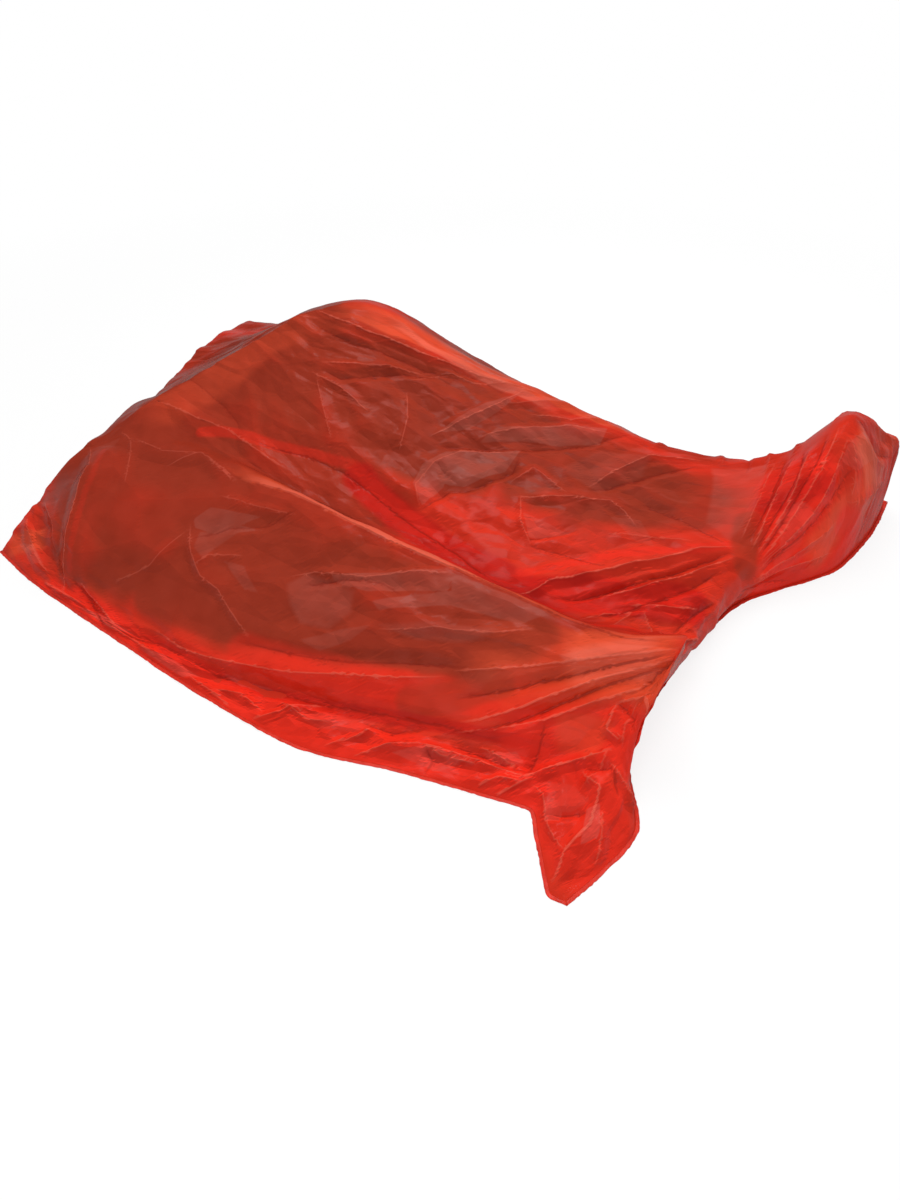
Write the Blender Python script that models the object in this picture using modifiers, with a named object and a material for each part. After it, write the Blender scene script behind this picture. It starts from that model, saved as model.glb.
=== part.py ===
"""Double bivvy bag of thin polythene film, lying filled on flat ground with its mouth open.

The bag is two sheets of film, an upper one and a lower one, welded together along the near side, the foot end
and the far side. The lower sheet lies flat. The upper sheet stands in two long mounds that run from the mouth to
the foot end, and each mound ends in a peak there. It is creased into large flat facets, as crumpled film is, and
its main folds are laid over them.

Metres, +Z up. +X runs from the mouth to the foot end and +Y from the near side to the far side. The origin is on
the ground, under the middle of the bag.
"""

from collections import namedtuple

import bmesh
import bpy
import numpy as np

# The sheets on the ground, inside their seams
LENGTH = 1.9  # from the mouth edge to the far corner of the foot end
WIDTH = 1.456  # from the tip of the near corner to the far side

# Film and seams
FILM = 0.0001  # thickness of one sheet
CLEARANCE = 0.0003  # left between pieces that touch
WELD_WIDTH = 0.008  # width of the flat welded seam
WELD_THICKNESS = 2 * FILM + CLEARANCE  # both sheets, and what lies between them here

# Heights of the upper sheet
NEAR_MOUND = 0.207  # near mound, behind the mouth
NEAR_FOOT = 0.248  # near mound's peak at the foot end
FAR_MOUND = 0.415  # far mound, at its highest
FAR_FOOT = 0.305  # far mound's peak at the foot end
MOUTH_NEAR = 0.195  # mouth edge over the near mound
MOUTH_FAR = 0.235  # mouth edge over the far mound
SKIRT = 0.008  # slack film that lies on the ground outside the near mound

# The lip is the part of the upper sheet beside the mouth, which swings about the mouth's two corners
LIP_DEPTH = 0.085  # along the ground, from the mouth edge to where the lip ends

# A taut fold runs from the near mound at the mouth up to the top of the far mound
FOLD_FALL = 0.55  # how steeply the film falls away on both sides of the fold
FOLD_ROUNDING = 0.008  # how softly the fold grows out of the film beside it

# Large facets of the upper sheet
FACET_LENGTH = 0.210  # average length of a facet, along the bag
FACET_WIDTH = 0.100  # average width of a facet
FACET_DEPTH = 0.008  # how far the facets stand out and lie in
FACET_SEED = 11
FLAT_EDGE = 0.030  # width of the strip beside the welds in which facets and folds die away

# Main folds of the upper sheet, outwards, and creases, inwards
MOUTH_FOLD = 0.011  # from the near mound at the mouth down to the near edge
CREST_FOLD = 0.009  # along the near mound's crest
CREST_CREASE = 0.008  # beside that fold, on the valley's side
VALLEY_CREASE = 0.009  # along the valley
PLEAT = 0.012  # pleats from the valley towards the far mound's foot
NEAR_FOOT_FOLD = 0.009  # folds that run up to the near mound's peak
CORNER_FOLD = 0.008  # folds in the near corner of the foot end
SKIRT_FOLD = 0.007  # along the slack film outside the near mound
FAR_MOUND_FOLD = 0.008  # on the far mound's near slope
FAR_LOW_FOLD = 0.007  # lower down on that slope
FAR_FOOT_FOLD = 0.010  # folds that fan out over the far mound's foot
FOLD_END = 0.22  # share of a fold's length, at either end, in which it dies away

# Grid of the upper sheet
ROWS_PER_STATION = 5
COLUMNS_PER_LINE = 5
LIP_ROWS = 4
CREST_SNAP = 0.48  # share of a cell within which the grid's points move onto a fold's crest

# Lines along the bag, near side first. Each has one point (x, y, z) at each of the 13 stations between the mouth
# edge and the foot end, as drawn for a bag of the size above. drawn_to_size fits them to LENGTH and WIDTH.
NEAR_EDGE = (
    (-0.935, -0.468, 0), (-0.775, -0.517, 0), (-0.635, -0.545, 0), (-0.421, -0.584, 0), (-0.200, -0.622, 0),
    (0.050, -0.648, 0), (0.250, -0.612, 0), (0.410, -0.590, 0), (0.509, -0.578, 0), (0.554, -0.634, 0),
    (0.597, -0.702, 0), (0.612, -0.720, 0), (0.636, -0.721, 0),
)
SKIRT_LINE = (
    (-0.915, -0.420, 0.012), (-0.760, -0.490, 0.012), (-0.620, -0.525, 0.010), (-0.420, -0.545, SKIRT),
    (-0.200, -0.566, SKIRT), (0.050, -0.558, SKIRT), (0.250, -0.535, SKIRT), (0.410, -0.507, 0.010),
    (0.525, -0.490, 0.012), (0.585, -0.560, 0.018), (0.625, -0.620, 0.015), (0.648, -0.640, 0.010),
    (0.667, -0.643, 0),
)
NEAR_FLANK_LOW = (
    (-0.905, -0.370, 0.045), (-0.745, -0.440, 0.075), (-0.615, -0.485, 0.055), (-0.420, -0.500, 0.055),
    (-0.200, -0.510, 0.055), (0.050, -0.505, 0.052), (0.260, -0.485, 0.050), (0.420, -0.455, 0.052),
    (0.540, -0.430, 0.060), (0.610, -0.470, 0.060), (0.645, -0.510, 0.035), (0.670, -0.540, 0.015),
    (0.694, -0.545, 0),
)
NEAR_FLANK = (
    (-0.895, -0.320, 0.105), (-0.735, -0.360, 0.155), (-0.605, -0.390, 0.145), (-0.420, -0.390, 0.140),
    (-0.200, -0.400, 0.130), (0.050, -0.400, 0.122), (0.270, -0.385, 0.115), (0.430, -0.365, 0.112),
    (0.550, -0.350, 0.125), (0.640, -0.370, 0.140), (0.645, -0.410, 0.070), (0.650, -0.450, 0.030),
    (0.660, -0.462, 0),
)
NEAR_CREST = (
    (-0.830, -0.200, MOUTH_NEAR), (-0.715, -0.150, NEAR_MOUND), (-0.580, -0.152, NEAR_MOUND),
    (-0.411, -0.160, 0.206), (-0.200, -0.175, 0.195), (0.050, -0.197, 0.180), (0.270, -0.222, 0.163),
    (0.420, -0.247, 0.162), (0.540, -0.268, 0.180), (0.675, -0.300, NEAR_FOOT), (0.655, -0.335, 0.170),
    (0.630, -0.350, 0.080), (0.615, -0.365, 0),
)
VALLEY = (
    (-0.845, -0.030, 0.150), (-0.720, 0.000, 0.150), (-0.580, 0.000, 0.155), (-0.410, -0.060, 0.150),
    (-0.200, -0.100, 0.135), (0.050, -0.135, 0.120), (0.270, -0.150, 0.105), (0.420, -0.150, 0.098),
    (0.530, -0.130, 0.098), (0.630, -0.120, 0.100), (0.665, -0.110, 0.070), (0.665, -0.100, 0.030),
    (0.645, -0.100, 0),
)
FAR_SLOPE = (
    (-0.870, 0.140, 0.182), (-0.720, 0.180, 0.200), (-0.580, 0.200, 0.250), (-0.410, 0.170, 0.300),
    (-0.200, 0.180, 0.235), (0.050, 0.170, 0.185), (0.270, 0.160, 0.155), (0.420, 0.160, 0.135),
    (0.540, 0.160, 0.125), (0.650, 0.160, 0.120), (0.710, 0.160, 0.095), (0.725, 0.150, 0.050),
    (0.705, 0.130, 0),
)
FAR_CREST = (
    (-0.880, 0.300, MOUTH_FAR), (-0.700, 0.330, 0.270), (-0.570, 0.345, 0.360), (-0.400, 0.365, FAR_MOUND),
    (-0.200, 0.430, 0.315), (0.050, 0.445, 0.233), (0.270, 0.458, 0.182), (0.430, 0.475, 0.146),
    (0.580, 0.495, 0.138), (0.700, 0.515, 0.175), (0.819, 0.530, FAR_FOOT), (0.915, 0.500, 0.140),
    (0.900, 0.400, 0),
)
FAR_FLANK = (
    (-0.900, 0.580, 0.190), (-0.720, 0.590, 0.200), (-0.580, 0.590, 0.240), (-0.400, 0.590, 0.245),
    (-0.200, 0.610, 0.190), (0.050, 0.610, 0.130), (0.270, 0.600, 0.095), (0.440, 0.575, 0.070),
    (0.580, 0.600, 0.075), (0.700, 0.650, 0.110), (0.830, 0.690, 0.230), (0.935, 0.700, 0.190),
    (0.955, 0.620, 0),
)
FAR_EDGE = (
    (-0.935, 0.690, 0), (-0.720, 0.697, 0), (-0.580, 0.702, 0), (-0.400, 0.705, 0), (-0.200, 0.705, 0),
    (0.050, 0.698, 0), (0.270, 0.680, 0), (0.440, 0.640, 0), (0.580, 0.660, 0), (0.700, 0.705, 0),
    (0.830, 0.735, 0), (0.930, 0.735, 0), (0.965, 0.730, 0),
)
LINES = (
    NEAR_EDGE, SKIRT_LINE, NEAR_FLANK_LOW, NEAR_FLANK, NEAR_CREST,
    VALLEY, FAR_SLOPE, FAR_CREST, FAR_FLANK, FAR_EDGE,
)
TAUT_FOLD = (
    (-0.812, -0.120, NEAR_MOUND), (-0.759, -0.084, 0.250), (-0.734, -0.044, 0.270), (-0.608, 0.153, 0.340),
    (-0.510, 0.267, 0.400), (-0.424, 0.349, FAR_MOUND),
)

# A fold is a roof with a straight slope on either side: its height, the widths of its left and right slopes, seen
# along it from above, and its points as (station, line) of the lines above
Fold = namedtuple("Fold", "height left right points")
FOLDS = (
    Fold(MOUTH_FOLD, 0.095, 0.032, (
        (0.10, 3.82), (0.72, 3.42), (1.02, 3.00), (1.25, 2.35), (1.45, 1.63), (1.80, 0.32),
    )),
    Fold(CREST_FOLD, 0.024, 0.070, (
        (3.00, 3.84), (3.82, 3.94), (4.43, 3.90), (4.92, 3.88), (5.42, 3.90), (6.03, 3.98), (7.00, 3.95),
        (7.70, 4.00), (8.25, 3.93), (8.82, 3.85),
    )),
    Fold(-CREST_CREASE, 0.026, 0.055, (
        (3.20, 4.20), (4.40, 4.28), (5.40, 4.30), (6.30, 4.35), (7.20, 4.30), (8.40, 4.20),
    )),
    Fold(-VALLEY_CREASE, 0.060, 0.060, (
        (2.73, 4.92), (3.53, 5.28), (3.92, 5.36), (4.25, 5.36), (4.62, 5.30), (5.00, 5.24), (5.35, 5.18),
        (6.00, 4.95),
    )),
    Fold(PLEAT, 0.020, 0.060, ((9.35, 6.10), (8.57, 5.95), (8.00, 5.72), (7.27, 5.52), (6.47, 5.25), (6.03, 4.60))),
    Fold(PLEAT, 0.022, 0.014, ((9.40, 5.98), (8.97, 5.80), (8.55, 5.62), (7.97, 5.38), (7.30, 5.25))),
    Fold(NEAR_FOOT_FOLD, 0.028, 0.038, ((9.00, 3.85), (8.50, 3.68), (7.12, 3.17), (6.03, 2.70))),
    Fold(NEAR_FOOT_FOLD, 0.020, 0.026, ((8.90, 3.65), (8.38, 3.35), (7.30, 2.63), (6.38, 1.76))),
    Fold(CORNER_FOLD, 0.016, 0.020, ((7.50, 0.50), (8.10, 1.27), (8.88, 2.25))),
    Fold(CORNER_FOLD, 0.028, 0.020, ((8.50, 1.47), (9.30, 1.72), (9.75, 1.30), (9.70, 0.57), (10.22, 0.05))),
    Fold(SKIRT_FOLD, 0.035, 0.035, (
        (3.10, 1.40), (3.55, 1.20), (3.85, 1.32), (4.57, 1.72), (5.08, 2.12), (6.03, 2.60),
    )),
    Fold(FAR_MOUND_FOLD, 0.050, 0.018, ((2.45, 6.72), (3.33, 6.62), (3.95, 6.73), (4.53, 6.90), (5.20, 7.10))),
    Fold(FAR_LOW_FOLD, 0.020, 0.042, ((7.60, 6.98), (6.82, 6.77), (6.45, 6.40), (6.25, 6.18))),
    Fold(FAR_LOW_FOLD, 0.034, 0.020, ((5.50, 5.80), (6.15, 6.00), (6.68, 6.12), (6.98, 6.07), (7.35, 5.95))),
    Fold(FAR_FOOT_FOLD, 0.020, 0.017, ((10.10, 6.12), (9.93, 6.38), (9.52, 6.82))),
    Fold(FAR_FOOT_FOLD, 0.022, 0.022, ((10.60, 6.10), (10.48, 6.48), (10.12, 6.85))),
)

UPPER_RED = (0.76, 0.045, 0.02)
LOWER_RED = (0.58, 0.030, 0.015)
WELD_RED = (0.82, 0.065, 0.03)
FILM_ROUGHNESS = 0.32
WELD_ROUGHNESS = 0.45


def monotone_slopes(points):
    """Slope at each evenly spaced point: the harmonic mean of its two chords, or none at a peak or a dip."""
    chords = np.diff(points, axis=0)
    before, after = chords[:-1], chords[1:]
    same_way = before * after > 0
    total = np.where(same_way, before + after, 1.0)
    slopes = np.zeros_like(points)
    slopes[1:-1] = np.where(same_way, 2 * before * after / total, 0.0)
    slopes[0] = chords[0]
    slopes[-1] = chords[-1]
    return slopes


def smooth_curve(points, at):
    """Cubic through evenly spaced points, read where at runs from 0 to 1. It never swings past a point."""
    spans = len(points) - 1
    slopes = monotone_slopes(points)
    place = np.asarray(at) * spans
    index = np.clip(place.astype(int), 0, spans - 1)
    share = (place - index).reshape((-1,) + (1,) * (points.ndim - 1))
    rise = share * share * (3 - 2 * share)
    leave = share * (1 - share) ** 2
    arrive = share * share * (share - 1)
    start, end = points[index], points[index + 1]
    return start + rise * (end - start) + leave * slopes[index] + arrive * slopes[index + 1]


def drawn_to_size(points):
    """The drawn points, stretched along the ground so that the sheets are LENGTH long and WIDTH wide."""
    drawn = np.array(LINES)[..., :2].reshape(-1, 2)
    stretch = np.array((LENGTH, WIDTH)) / (drawn.max(axis=0) - drawn.min(axis=0))
    return np.array(points) * np.append(stretch, 1)


def height_over_fold(plan):
    """Height of a tent over the taut fold: the fold's own height, less FOLD_FALL for each metre beside it."""
    height = np.zeros(plan.shape[:-1])
    fold = drawn_to_size(TAUT_FOLD)
    for start, end in zip(fold[:-1], fold[1:]):
        along = end[:2] - start[:2]
        share = np.clip((plan - start[:2]) @ along / (along @ along), 0, 1)
        nearest = start + share[..., None] * (end - start)
        beside = np.linalg.norm(plan - nearest[..., :2], axis=-1)
        height = np.maximum(height, nearest[..., 2] - FOLD_FALL * beside)
    return height


def upper_surface(along, across):
    """Underside of the upper sheet, with along from the mouth, 0, to the foot end, 1, and across from the near side.

    The lines are joined by smooth curves along the bag, those by smooth curves across it, and the taut fold is
    laid over the result as a soft maximum of the two heights, which dies away beyond the far mound's crest.
    """
    net = drawn_to_size(LINES).swapaxes(0, 1)
    rows = smooth_curve(net, along)
    surface = smooth_curve(rows.swapaxes(0, 1), across).swapaxes(0, 1)
    film, fold = surface[..., 2], height_over_fold(surface[..., :2])
    over = np.logaddexp(film / FOLD_ROUNDING, fold / FOLD_ROUNDING) * FOLD_ROUNDING - film
    beyond = np.clip(np.asarray(across) * (len(LINES) - 1) - LINES.index(FAR_CREST), 0, 1)
    inside = np.clip(film / FOLD_ROUNDING, 0, 1) * (1 - beyond * beyond * (3 - 2 * beyond))
    surface[..., 2] = film + over * inside + FILM + CLEARANCE
    return surface


def normals_of(along, across):
    """Unit normals of upper_surface, from points a small step apart."""
    step = 1e-4
    lengthways = upper_surface(along + step, across) - upper_surface(along - step, across)
    crossways = upper_surface(along, across + step) - upper_surface(along, across - step)
    normal = np.cross(lengthways, crossways)
    return normal / np.maximum(np.linalg.norm(normal, axis=-1, keepdims=True), 1e-12)


def flat_lengths(along, across):
    """Lengths on the flat film up to each row and each column, on average, and the two full lengths."""
    fine, probe = np.linspace(0, 1, 401), np.linspace(0, 1, 25)
    lengths = []
    for surface in (upper_surface(fine, probe), upper_surface(probe, fine).swapaxes(0, 1)):
        steps = np.linalg.norm(np.diff(surface, axis=0), axis=-1).mean(axis=1)
        lengths.append(np.concatenate(([0], np.cumsum(steps))))
    x, y = np.interp(along, fine, lengths[0]), np.interp(across, fine, lengths[1])
    return x[:, None], y[None, :], lengths[0][-1], lengths[1][-1]


def nearest_square(x, y, seed):
    """Square of the distance to the nearest of many points, which are scattered one to each unit cell."""
    scatter = np.random.default_rng(seed).uniform(0, 1, (64, 64, 2))
    column, row = np.floor(x).astype(int), np.floor(y).astype(int)
    squares = []
    for right in (-1, 0, 1):
        for up in (-1, 0, 1):
            spot = scatter[(column + right) % 64, (row + up) % 64]
            squares.append((column + right + spot[..., 0] - x) ** 2 + (row + up + spot[..., 1] - y) ** 2)
    return np.min(squares, axis=0)


def facet_height(x, y):
    """Flat facets between sharp creases: in the difference of two nearest squares, those of x and y cancel."""
    x, y = np.broadcast_arrays(x / FACET_LENGTH, y / FACET_WIDTH)
    return FACET_DEPTH * (nearest_square(x, y, FACET_SEED) - nearest_square(x, y, FACET_SEED + 1))


def line_on_surface(places):
    """Points of upper_surface along straight stretches between places (station, line)."""
    knots = np.arange(len(places))
    at = np.linspace(0, knots[-1], 4 * knots[-1] + 1)
    station, line = (np.interp(at, knots, column) for column in np.array(places).T)
    grid = upper_surface(station / (len(NEAR_EDGE) - 1), line / (len(LINES) - 1))
    return grid[np.arange(len(at)), np.arange(len(at))]


def nearest_on_line(points, line):
    """Offset of each point from the nearest point of a line, the line's step there and the share travelled."""
    steps = np.diff(line, axis=0)
    lengths = np.linalg.norm(steps, axis=1)
    travelled = np.concatenate(([0], np.cumsum(lengths))) / lengths.sum()
    offset = np.full(points.shape, np.inf)
    heading = np.zeros(points.shape)
    share = np.zeros(points.shape[:-1])
    for index, step in enumerate(steps):
        along = np.clip((points - line[index]) @ step / (step @ step), 0, 1)
        away = points - line[index] - along[..., None] * step
        closer = np.sum(away**2, axis=-1) < np.sum(offset**2, axis=-1)
        offset[closer] = away[closer]
        heading[closer] = step
        share[closer] = (travelled[index] + along * (travelled[index + 1] - travelled[index]))[closer]
    return offset, heading, share


def lay_fold(fold, points, normals, height, free):
    """Adds a fold's height, and moves the free grid points beside its crest onto it, so that the crest is clean."""
    offset, heading, share = nearest_on_line(points, line_on_surface(fold.points))
    distance = np.linalg.norm(offset, axis=-1)
    leftward = np.sum(offset * np.cross(normals, heading), axis=-1) > 0
    cell = min(np.linalg.norm(np.diff(points, axis=axis), axis=-1).mean() for axis in (0, 1))
    on_crest = free & (distance < CREST_SNAP * cell) & (share > 0) & (share < 1)
    points[on_crest] -= offset[on_crest]
    free[on_crest] = False
    distance[on_crest] = 0
    width = np.where(leftward, fold.left, fold.right)
    ends = np.clip(np.minimum(share, 1 - share) / FOLD_END, 0, 1)
    height += fold.height * np.clip(1 - distance / width, 0, None) * ends


def creased_sheet():
    """Underside of the whole upper sheet, lip and body, with its facets and folds.

    Every point moves along the smooth surface's normal there. The welded edges stay where they are, and nothing
    sinks to the lower sheet.
    """
    along = np.concatenate((lip_shares()[:-1], body_shares()))
    across = across_shares()
    points, normals = upper_surface(along, across), normals_of(along, across)
    x, y, length, width = flat_lengths(along, across)
    height = facet_height(x, y)
    free = np.ones(points.shape[:2], bool)
    free[[0, LIP_ROWS, -1]] = False
    free[:, [0, -1]] = False
    for fold in sorted(FOLDS, key=lambda fold: -abs(fold.height)):
        lay_fold(fold, points, normals, height, free)
    edge = np.minimum(np.minimum(y, width - y), length - x)
    height *= np.clip(edge / FLAT_EDGE, 0, 1)
    points += height[..., None] * normals
    points[..., 2] = np.maximum(points[..., 2], FILM + CLEARANCE)
    return points


def lip_share():
    """Share of the bag's length, along the near edge, where the lip ends."""
    near_edge = drawn_to_size(NEAR_EDGE)
    first_step = near_edge[1, 0] - near_edge[0, 0]
    return LIP_DEPTH / first_step / (len(NEAR_EDGE) - 1)


def body_shares():
    """Places of the rows behind the lip, with the lip's end as the first."""
    rows = np.linspace(0, 1, ROWS_PER_STATION * (len(NEAR_EDGE) - 1) + 1)
    step = rows[1]
    return np.concatenate(([lip_share()], rows[rows > lip_share() + step / 4]))


def lip_shares():
    return np.linspace(0, lip_share(), LIP_ROWS + 1)


def across_shares():
    return np.linspace(0, 1, COLUMNS_PER_LINE * (len(LINES) - 1) + 1)


def welded_edge():
    """Outline of the sheets where the seam starts: near side, foot end and far side, with the two corners' places."""
    along = np.concatenate((lip_shares()[:-1], body_shares()))
    near_side = upper_surface(along, [0.0])[:, 0, :2]
    foot_end = upper_surface([1.0], across_shares())[0, :, :2]
    far_side = upper_surface(along[::-1], [1.0])[:, 0, :2]
    near_corner = len(near_side) - 1
    far_corner = near_corner + len(foot_end) - 1
    return np.concatenate((near_side, foot_end[1:], far_side[1:])), near_corner, far_corner


def offset_outwards(path, distance):
    """The path moved to its right-hand side, with mitred corners."""
    steps = np.diff(path, axis=0)
    steps /= np.linalg.norm(steps, axis=1)[:, None]
    right = np.stack((steps[:, 1], -steps[:, 0]), axis=1)
    before = np.concatenate((right[:1], right))
    after = np.concatenate((right, right[-1:]))
    mitre = (before + after) / (1 + np.sum(before * after, axis=1))[:, None]
    return path + distance * mitre


def plan_centre():
    """Middle of the box round the outline of the seam, which becomes the origin."""
    path, _, _ = welded_edge()
    outer = offset_outwards(path, CLEARANCE + WELD_WIDTH)
    return (outer.min(axis=0) + outer.max(axis=0)) / 2


def film_material(name, colour, roughness):
    material = bpy.data.materials.new(name)
    material.use_nodes = True
    shader = material.node_tree.nodes["Principled BSDF"]
    shader.inputs["Base Color"].default_value = (*colour, 1.0)
    shader.inputs["Roughness"].default_value = roughness
    shader.inputs["Metallic"].default_value = 0.0
    material.diffuse_color = (*colour, 1.0)
    return material


def sheet_object(name, points, material, collection):
    """A grid laid on rows of points and given the film's thickness upwards."""
    rows, columns = points.shape[:2]
    mesh = bpy.data.meshes.new(name)
    grid = bmesh.new()
    bmesh.ops.create_grid(grid, x_segments=rows - 1, y_segments=columns - 1, size=0.5)
    grid.to_mesh(mesh)
    grid.free()
    flat = np.empty(3 * len(mesh.vertices))
    mesh.vertices.foreach_get("co", flat)
    share = flat.reshape(-1, 3) + 0.5
    row = np.rint(share[:, 0] * (rows - 1)).astype(int)
    column = np.rint(share[:, 1] * (columns - 1)).astype(int)
    mesh.vertices.foreach_set("co", points[row, column].ravel())
    mesh.shade_smooth()
    mesh.materials.append(material)
    sheet = bpy.data.objects.new(name, mesh)
    collection.objects.link(sheet)
    solidify = sheet.modifiers.new("film", "SOLIDIFY")
    solidify.thickness = FILM
    solidify.offset = 1.0
    return sheet


def flat_object(name, outline, bottom, thickness, material, collection):
    """A closed outline filled and given a thickness."""
    curve = bpy.data.curves.new(name, "CURVE")
    curve.dimensions = "2D"
    curve.fill_mode = "BOTH"
    curve.extrude = thickness / 2
    spline = curve.splines.new("POLY")
    spline.points.add(len(outline) - 1)
    spline.points.foreach_set("co", np.pad(outline, ((0, 0), (0, 2)), constant_values=(0, 0)).ravel())
    spline.use_cyclic_u = True
    curve.materials.append(material)
    flat = bpy.data.objects.new(name, curve)
    flat.location.z = bottom + thickness / 2
    collection.objects.link(flat)
    return flat


def weld_object(name, path, first, last, material, collection):
    """The seam beside one stretch of the welded edge, held clear of the sheets and of the seams at its ends."""
    inner = offset_outwards(path, CLEARANCE)[first : last + 1]
    outer = offset_outwards(path, CLEARANCE + WELD_WIDTH)[first : last + 1]
    start = path[first + 1] - path[first]
    end = path[last - 1] - path[last]
    for side in (inner, outer):
        if first > 0:
            side[0] += CLEARANCE * start / np.linalg.norm(start)
        if last < len(path) - 1:
            side[-1] += CLEARANCE * end / np.linalg.norm(end)
    return flat_object(name, np.concatenate((inner, outer[::-1])), 0, WELD_THICKNESS, material, collection)


def make_upper_film(centre, collection):
    material = film_material("polythene_film_upper", UPPER_RED, FILM_ROUGHNESS)
    points = creased_sheet()[LIP_ROWS:]
    points[..., :2] -= centre
    points[0, :, 0] += CLEARANCE
    return sheet_object("upper_film", points, material, collection)


def make_mouth_lip(centre, collection):
    """The lip, whose origin is on the line through the mouth's two corners."""
    material = film_material("polythene_film_lip", UPPER_RED, FILM_ROUGHNESS)
    hinge = bpy.data.objects.new("mouth_hinge", None)
    hinge.location = (drawn_to_size(NEAR_EDGE)[0, 0] - centre[0], 0, 0)
    collection.objects.link(hinge)
    points = creased_sheet()[: LIP_ROWS + 1]
    points[..., :2] -= centre
    points -= np.array(hinge.location)
    lip = sheet_object("mouth_lip", points, material, collection)
    lip.parent = hinge
    return lip


def make_lower_film(centre, collection):
    material = film_material("polythene_film_lower", LOWER_RED, FILM_ROUGHNESS)
    path, _, _ = welded_edge()
    return flat_object("lower_film", path - centre, 0, FILM, material, collection)


def make_welds(centre, collection):
    material = film_material("polythene_weld", WELD_RED, WELD_ROUGHNESS)
    path, near_corner, far_corner = welded_edge()
    path = path - centre
    stretches = {
        "near_side_weld": (0, near_corner),
        "foot_weld": (near_corner, far_corner),
        "far_side_weld": (far_corner, len(path) - 1),
    }
    for name, (first, last) in stretches.items():
        weld_object(name, path, first, last, material, collection)


def main():
    for old in list(bpy.data.objects):
        bpy.data.objects.remove(old)
    collection = bpy.data.collections.new("bivvy_bag")
    bpy.context.scene.collection.children.link(collection)
    centre = plan_centre()
    make_lower_film(centre, collection)
    make_welds(centre, collection)
    make_upper_film(centre, collection)
    make_mouth_lip(centre, collection)
    bpy.context.view_layer.update()


main()
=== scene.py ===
"""Double bivvy bag of blown polythene film, filled in two mounds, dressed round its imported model.

The upper film, the lower film and the three welds between them are surfaces worked out with numpy. Lengths
are in metres unless a name or a comment says millimetres.
"""

import math
from collections import namedtuple

import bpy
import numpy as np
from bpy.props import FloatProperty, FloatVectorProperty, IntProperty, PointerProperty
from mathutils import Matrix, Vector


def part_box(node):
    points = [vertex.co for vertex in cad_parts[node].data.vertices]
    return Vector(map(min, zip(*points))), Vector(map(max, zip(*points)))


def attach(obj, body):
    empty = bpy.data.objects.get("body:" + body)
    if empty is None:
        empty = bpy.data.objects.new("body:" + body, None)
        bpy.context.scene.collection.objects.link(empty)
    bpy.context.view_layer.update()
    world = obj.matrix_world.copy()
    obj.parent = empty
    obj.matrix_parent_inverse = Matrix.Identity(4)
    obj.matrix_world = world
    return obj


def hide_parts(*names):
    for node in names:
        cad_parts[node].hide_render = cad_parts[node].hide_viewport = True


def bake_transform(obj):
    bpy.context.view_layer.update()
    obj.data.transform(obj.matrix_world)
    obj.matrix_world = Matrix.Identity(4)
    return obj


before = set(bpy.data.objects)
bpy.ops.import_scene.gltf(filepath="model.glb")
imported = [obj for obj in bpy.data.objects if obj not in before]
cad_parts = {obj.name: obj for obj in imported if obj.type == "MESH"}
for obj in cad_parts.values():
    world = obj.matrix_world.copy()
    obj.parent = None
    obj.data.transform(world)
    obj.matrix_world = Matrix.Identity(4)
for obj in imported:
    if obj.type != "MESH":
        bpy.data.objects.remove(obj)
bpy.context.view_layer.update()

bl_info = {
    "name": "Double Bivvy Bag",
    "version": (1, 0, 0),
    "blender": (4, 5, 0),
    "location": "3D View > Sidebar > Bivvy Bag",
    "description": "Dresses the packed model of a filled double bivvy bag in creased blown film",
    "category": "Object",
}

MILLIMETRE = 0.001

# Form of the upper film, as drawn for a bag 1.9 m long and 1.456 m wide: ten lines along the bag, near side
# first, with a point (x, y, z) at each of 13 stations between the mouth edge and the foot end
NEAR_EDGE = (
    (-0.935, -0.468, 0), (-0.775, -0.517, 0), (-0.635, -0.545, 0), (-0.421, -0.584, 0), (-0.200, -0.622, 0),
    (0.050, -0.648, 0), (0.250, -0.612, 0), (0.410, -0.590, 0), (0.509, -0.578, 0), (0.554, -0.634, 0),
    (0.597, -0.702, 0), (0.612, -0.720, 0), (0.636, -0.721, 0),
)
SKIRT_LINE = (
    (-0.915, -0.420, 0.012), (-0.760, -0.490, 0.012), (-0.620, -0.525, 0.010), (-0.420, -0.545, 0.008),
    (-0.200, -0.566, 0.008), (0.050, -0.558, 0.008), (0.250, -0.535, 0.008), (0.410, -0.507, 0.010),
    (0.525, -0.490, 0.012), (0.585, -0.560, 0.018), (0.625, -0.620, 0.015), (0.648, -0.640, 0.010),
    (0.667, -0.643, 0),
)
NEAR_FLANK_LOW = (
    (-0.905, -0.370, 0.045), (-0.745, -0.440, 0.075), (-0.615, -0.485, 0.055), (-0.420, -0.500, 0.055),
    (-0.200, -0.510, 0.055), (0.050, -0.505, 0.052), (0.260, -0.485, 0.050), (0.420, -0.455, 0.052),
    (0.540, -0.430, 0.060), (0.610, -0.470, 0.060), (0.645, -0.510, 0.035), (0.670, -0.540, 0.015),
    (0.694, -0.545, 0),
)
NEAR_FLANK = (
    (-0.895, -0.320, 0.105), (-0.735, -0.360, 0.155), (-0.605, -0.390, 0.145), (-0.420, -0.390, 0.140),
    (-0.200, -0.400, 0.130), (0.050, -0.400, 0.122), (0.270, -0.385, 0.115), (0.430, -0.365, 0.112),
    (0.550, -0.350, 0.125), (0.640, -0.370, 0.140), (0.645, -0.410, 0.070), (0.650, -0.450, 0.030),
    (0.660, -0.462, 0),
)
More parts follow.
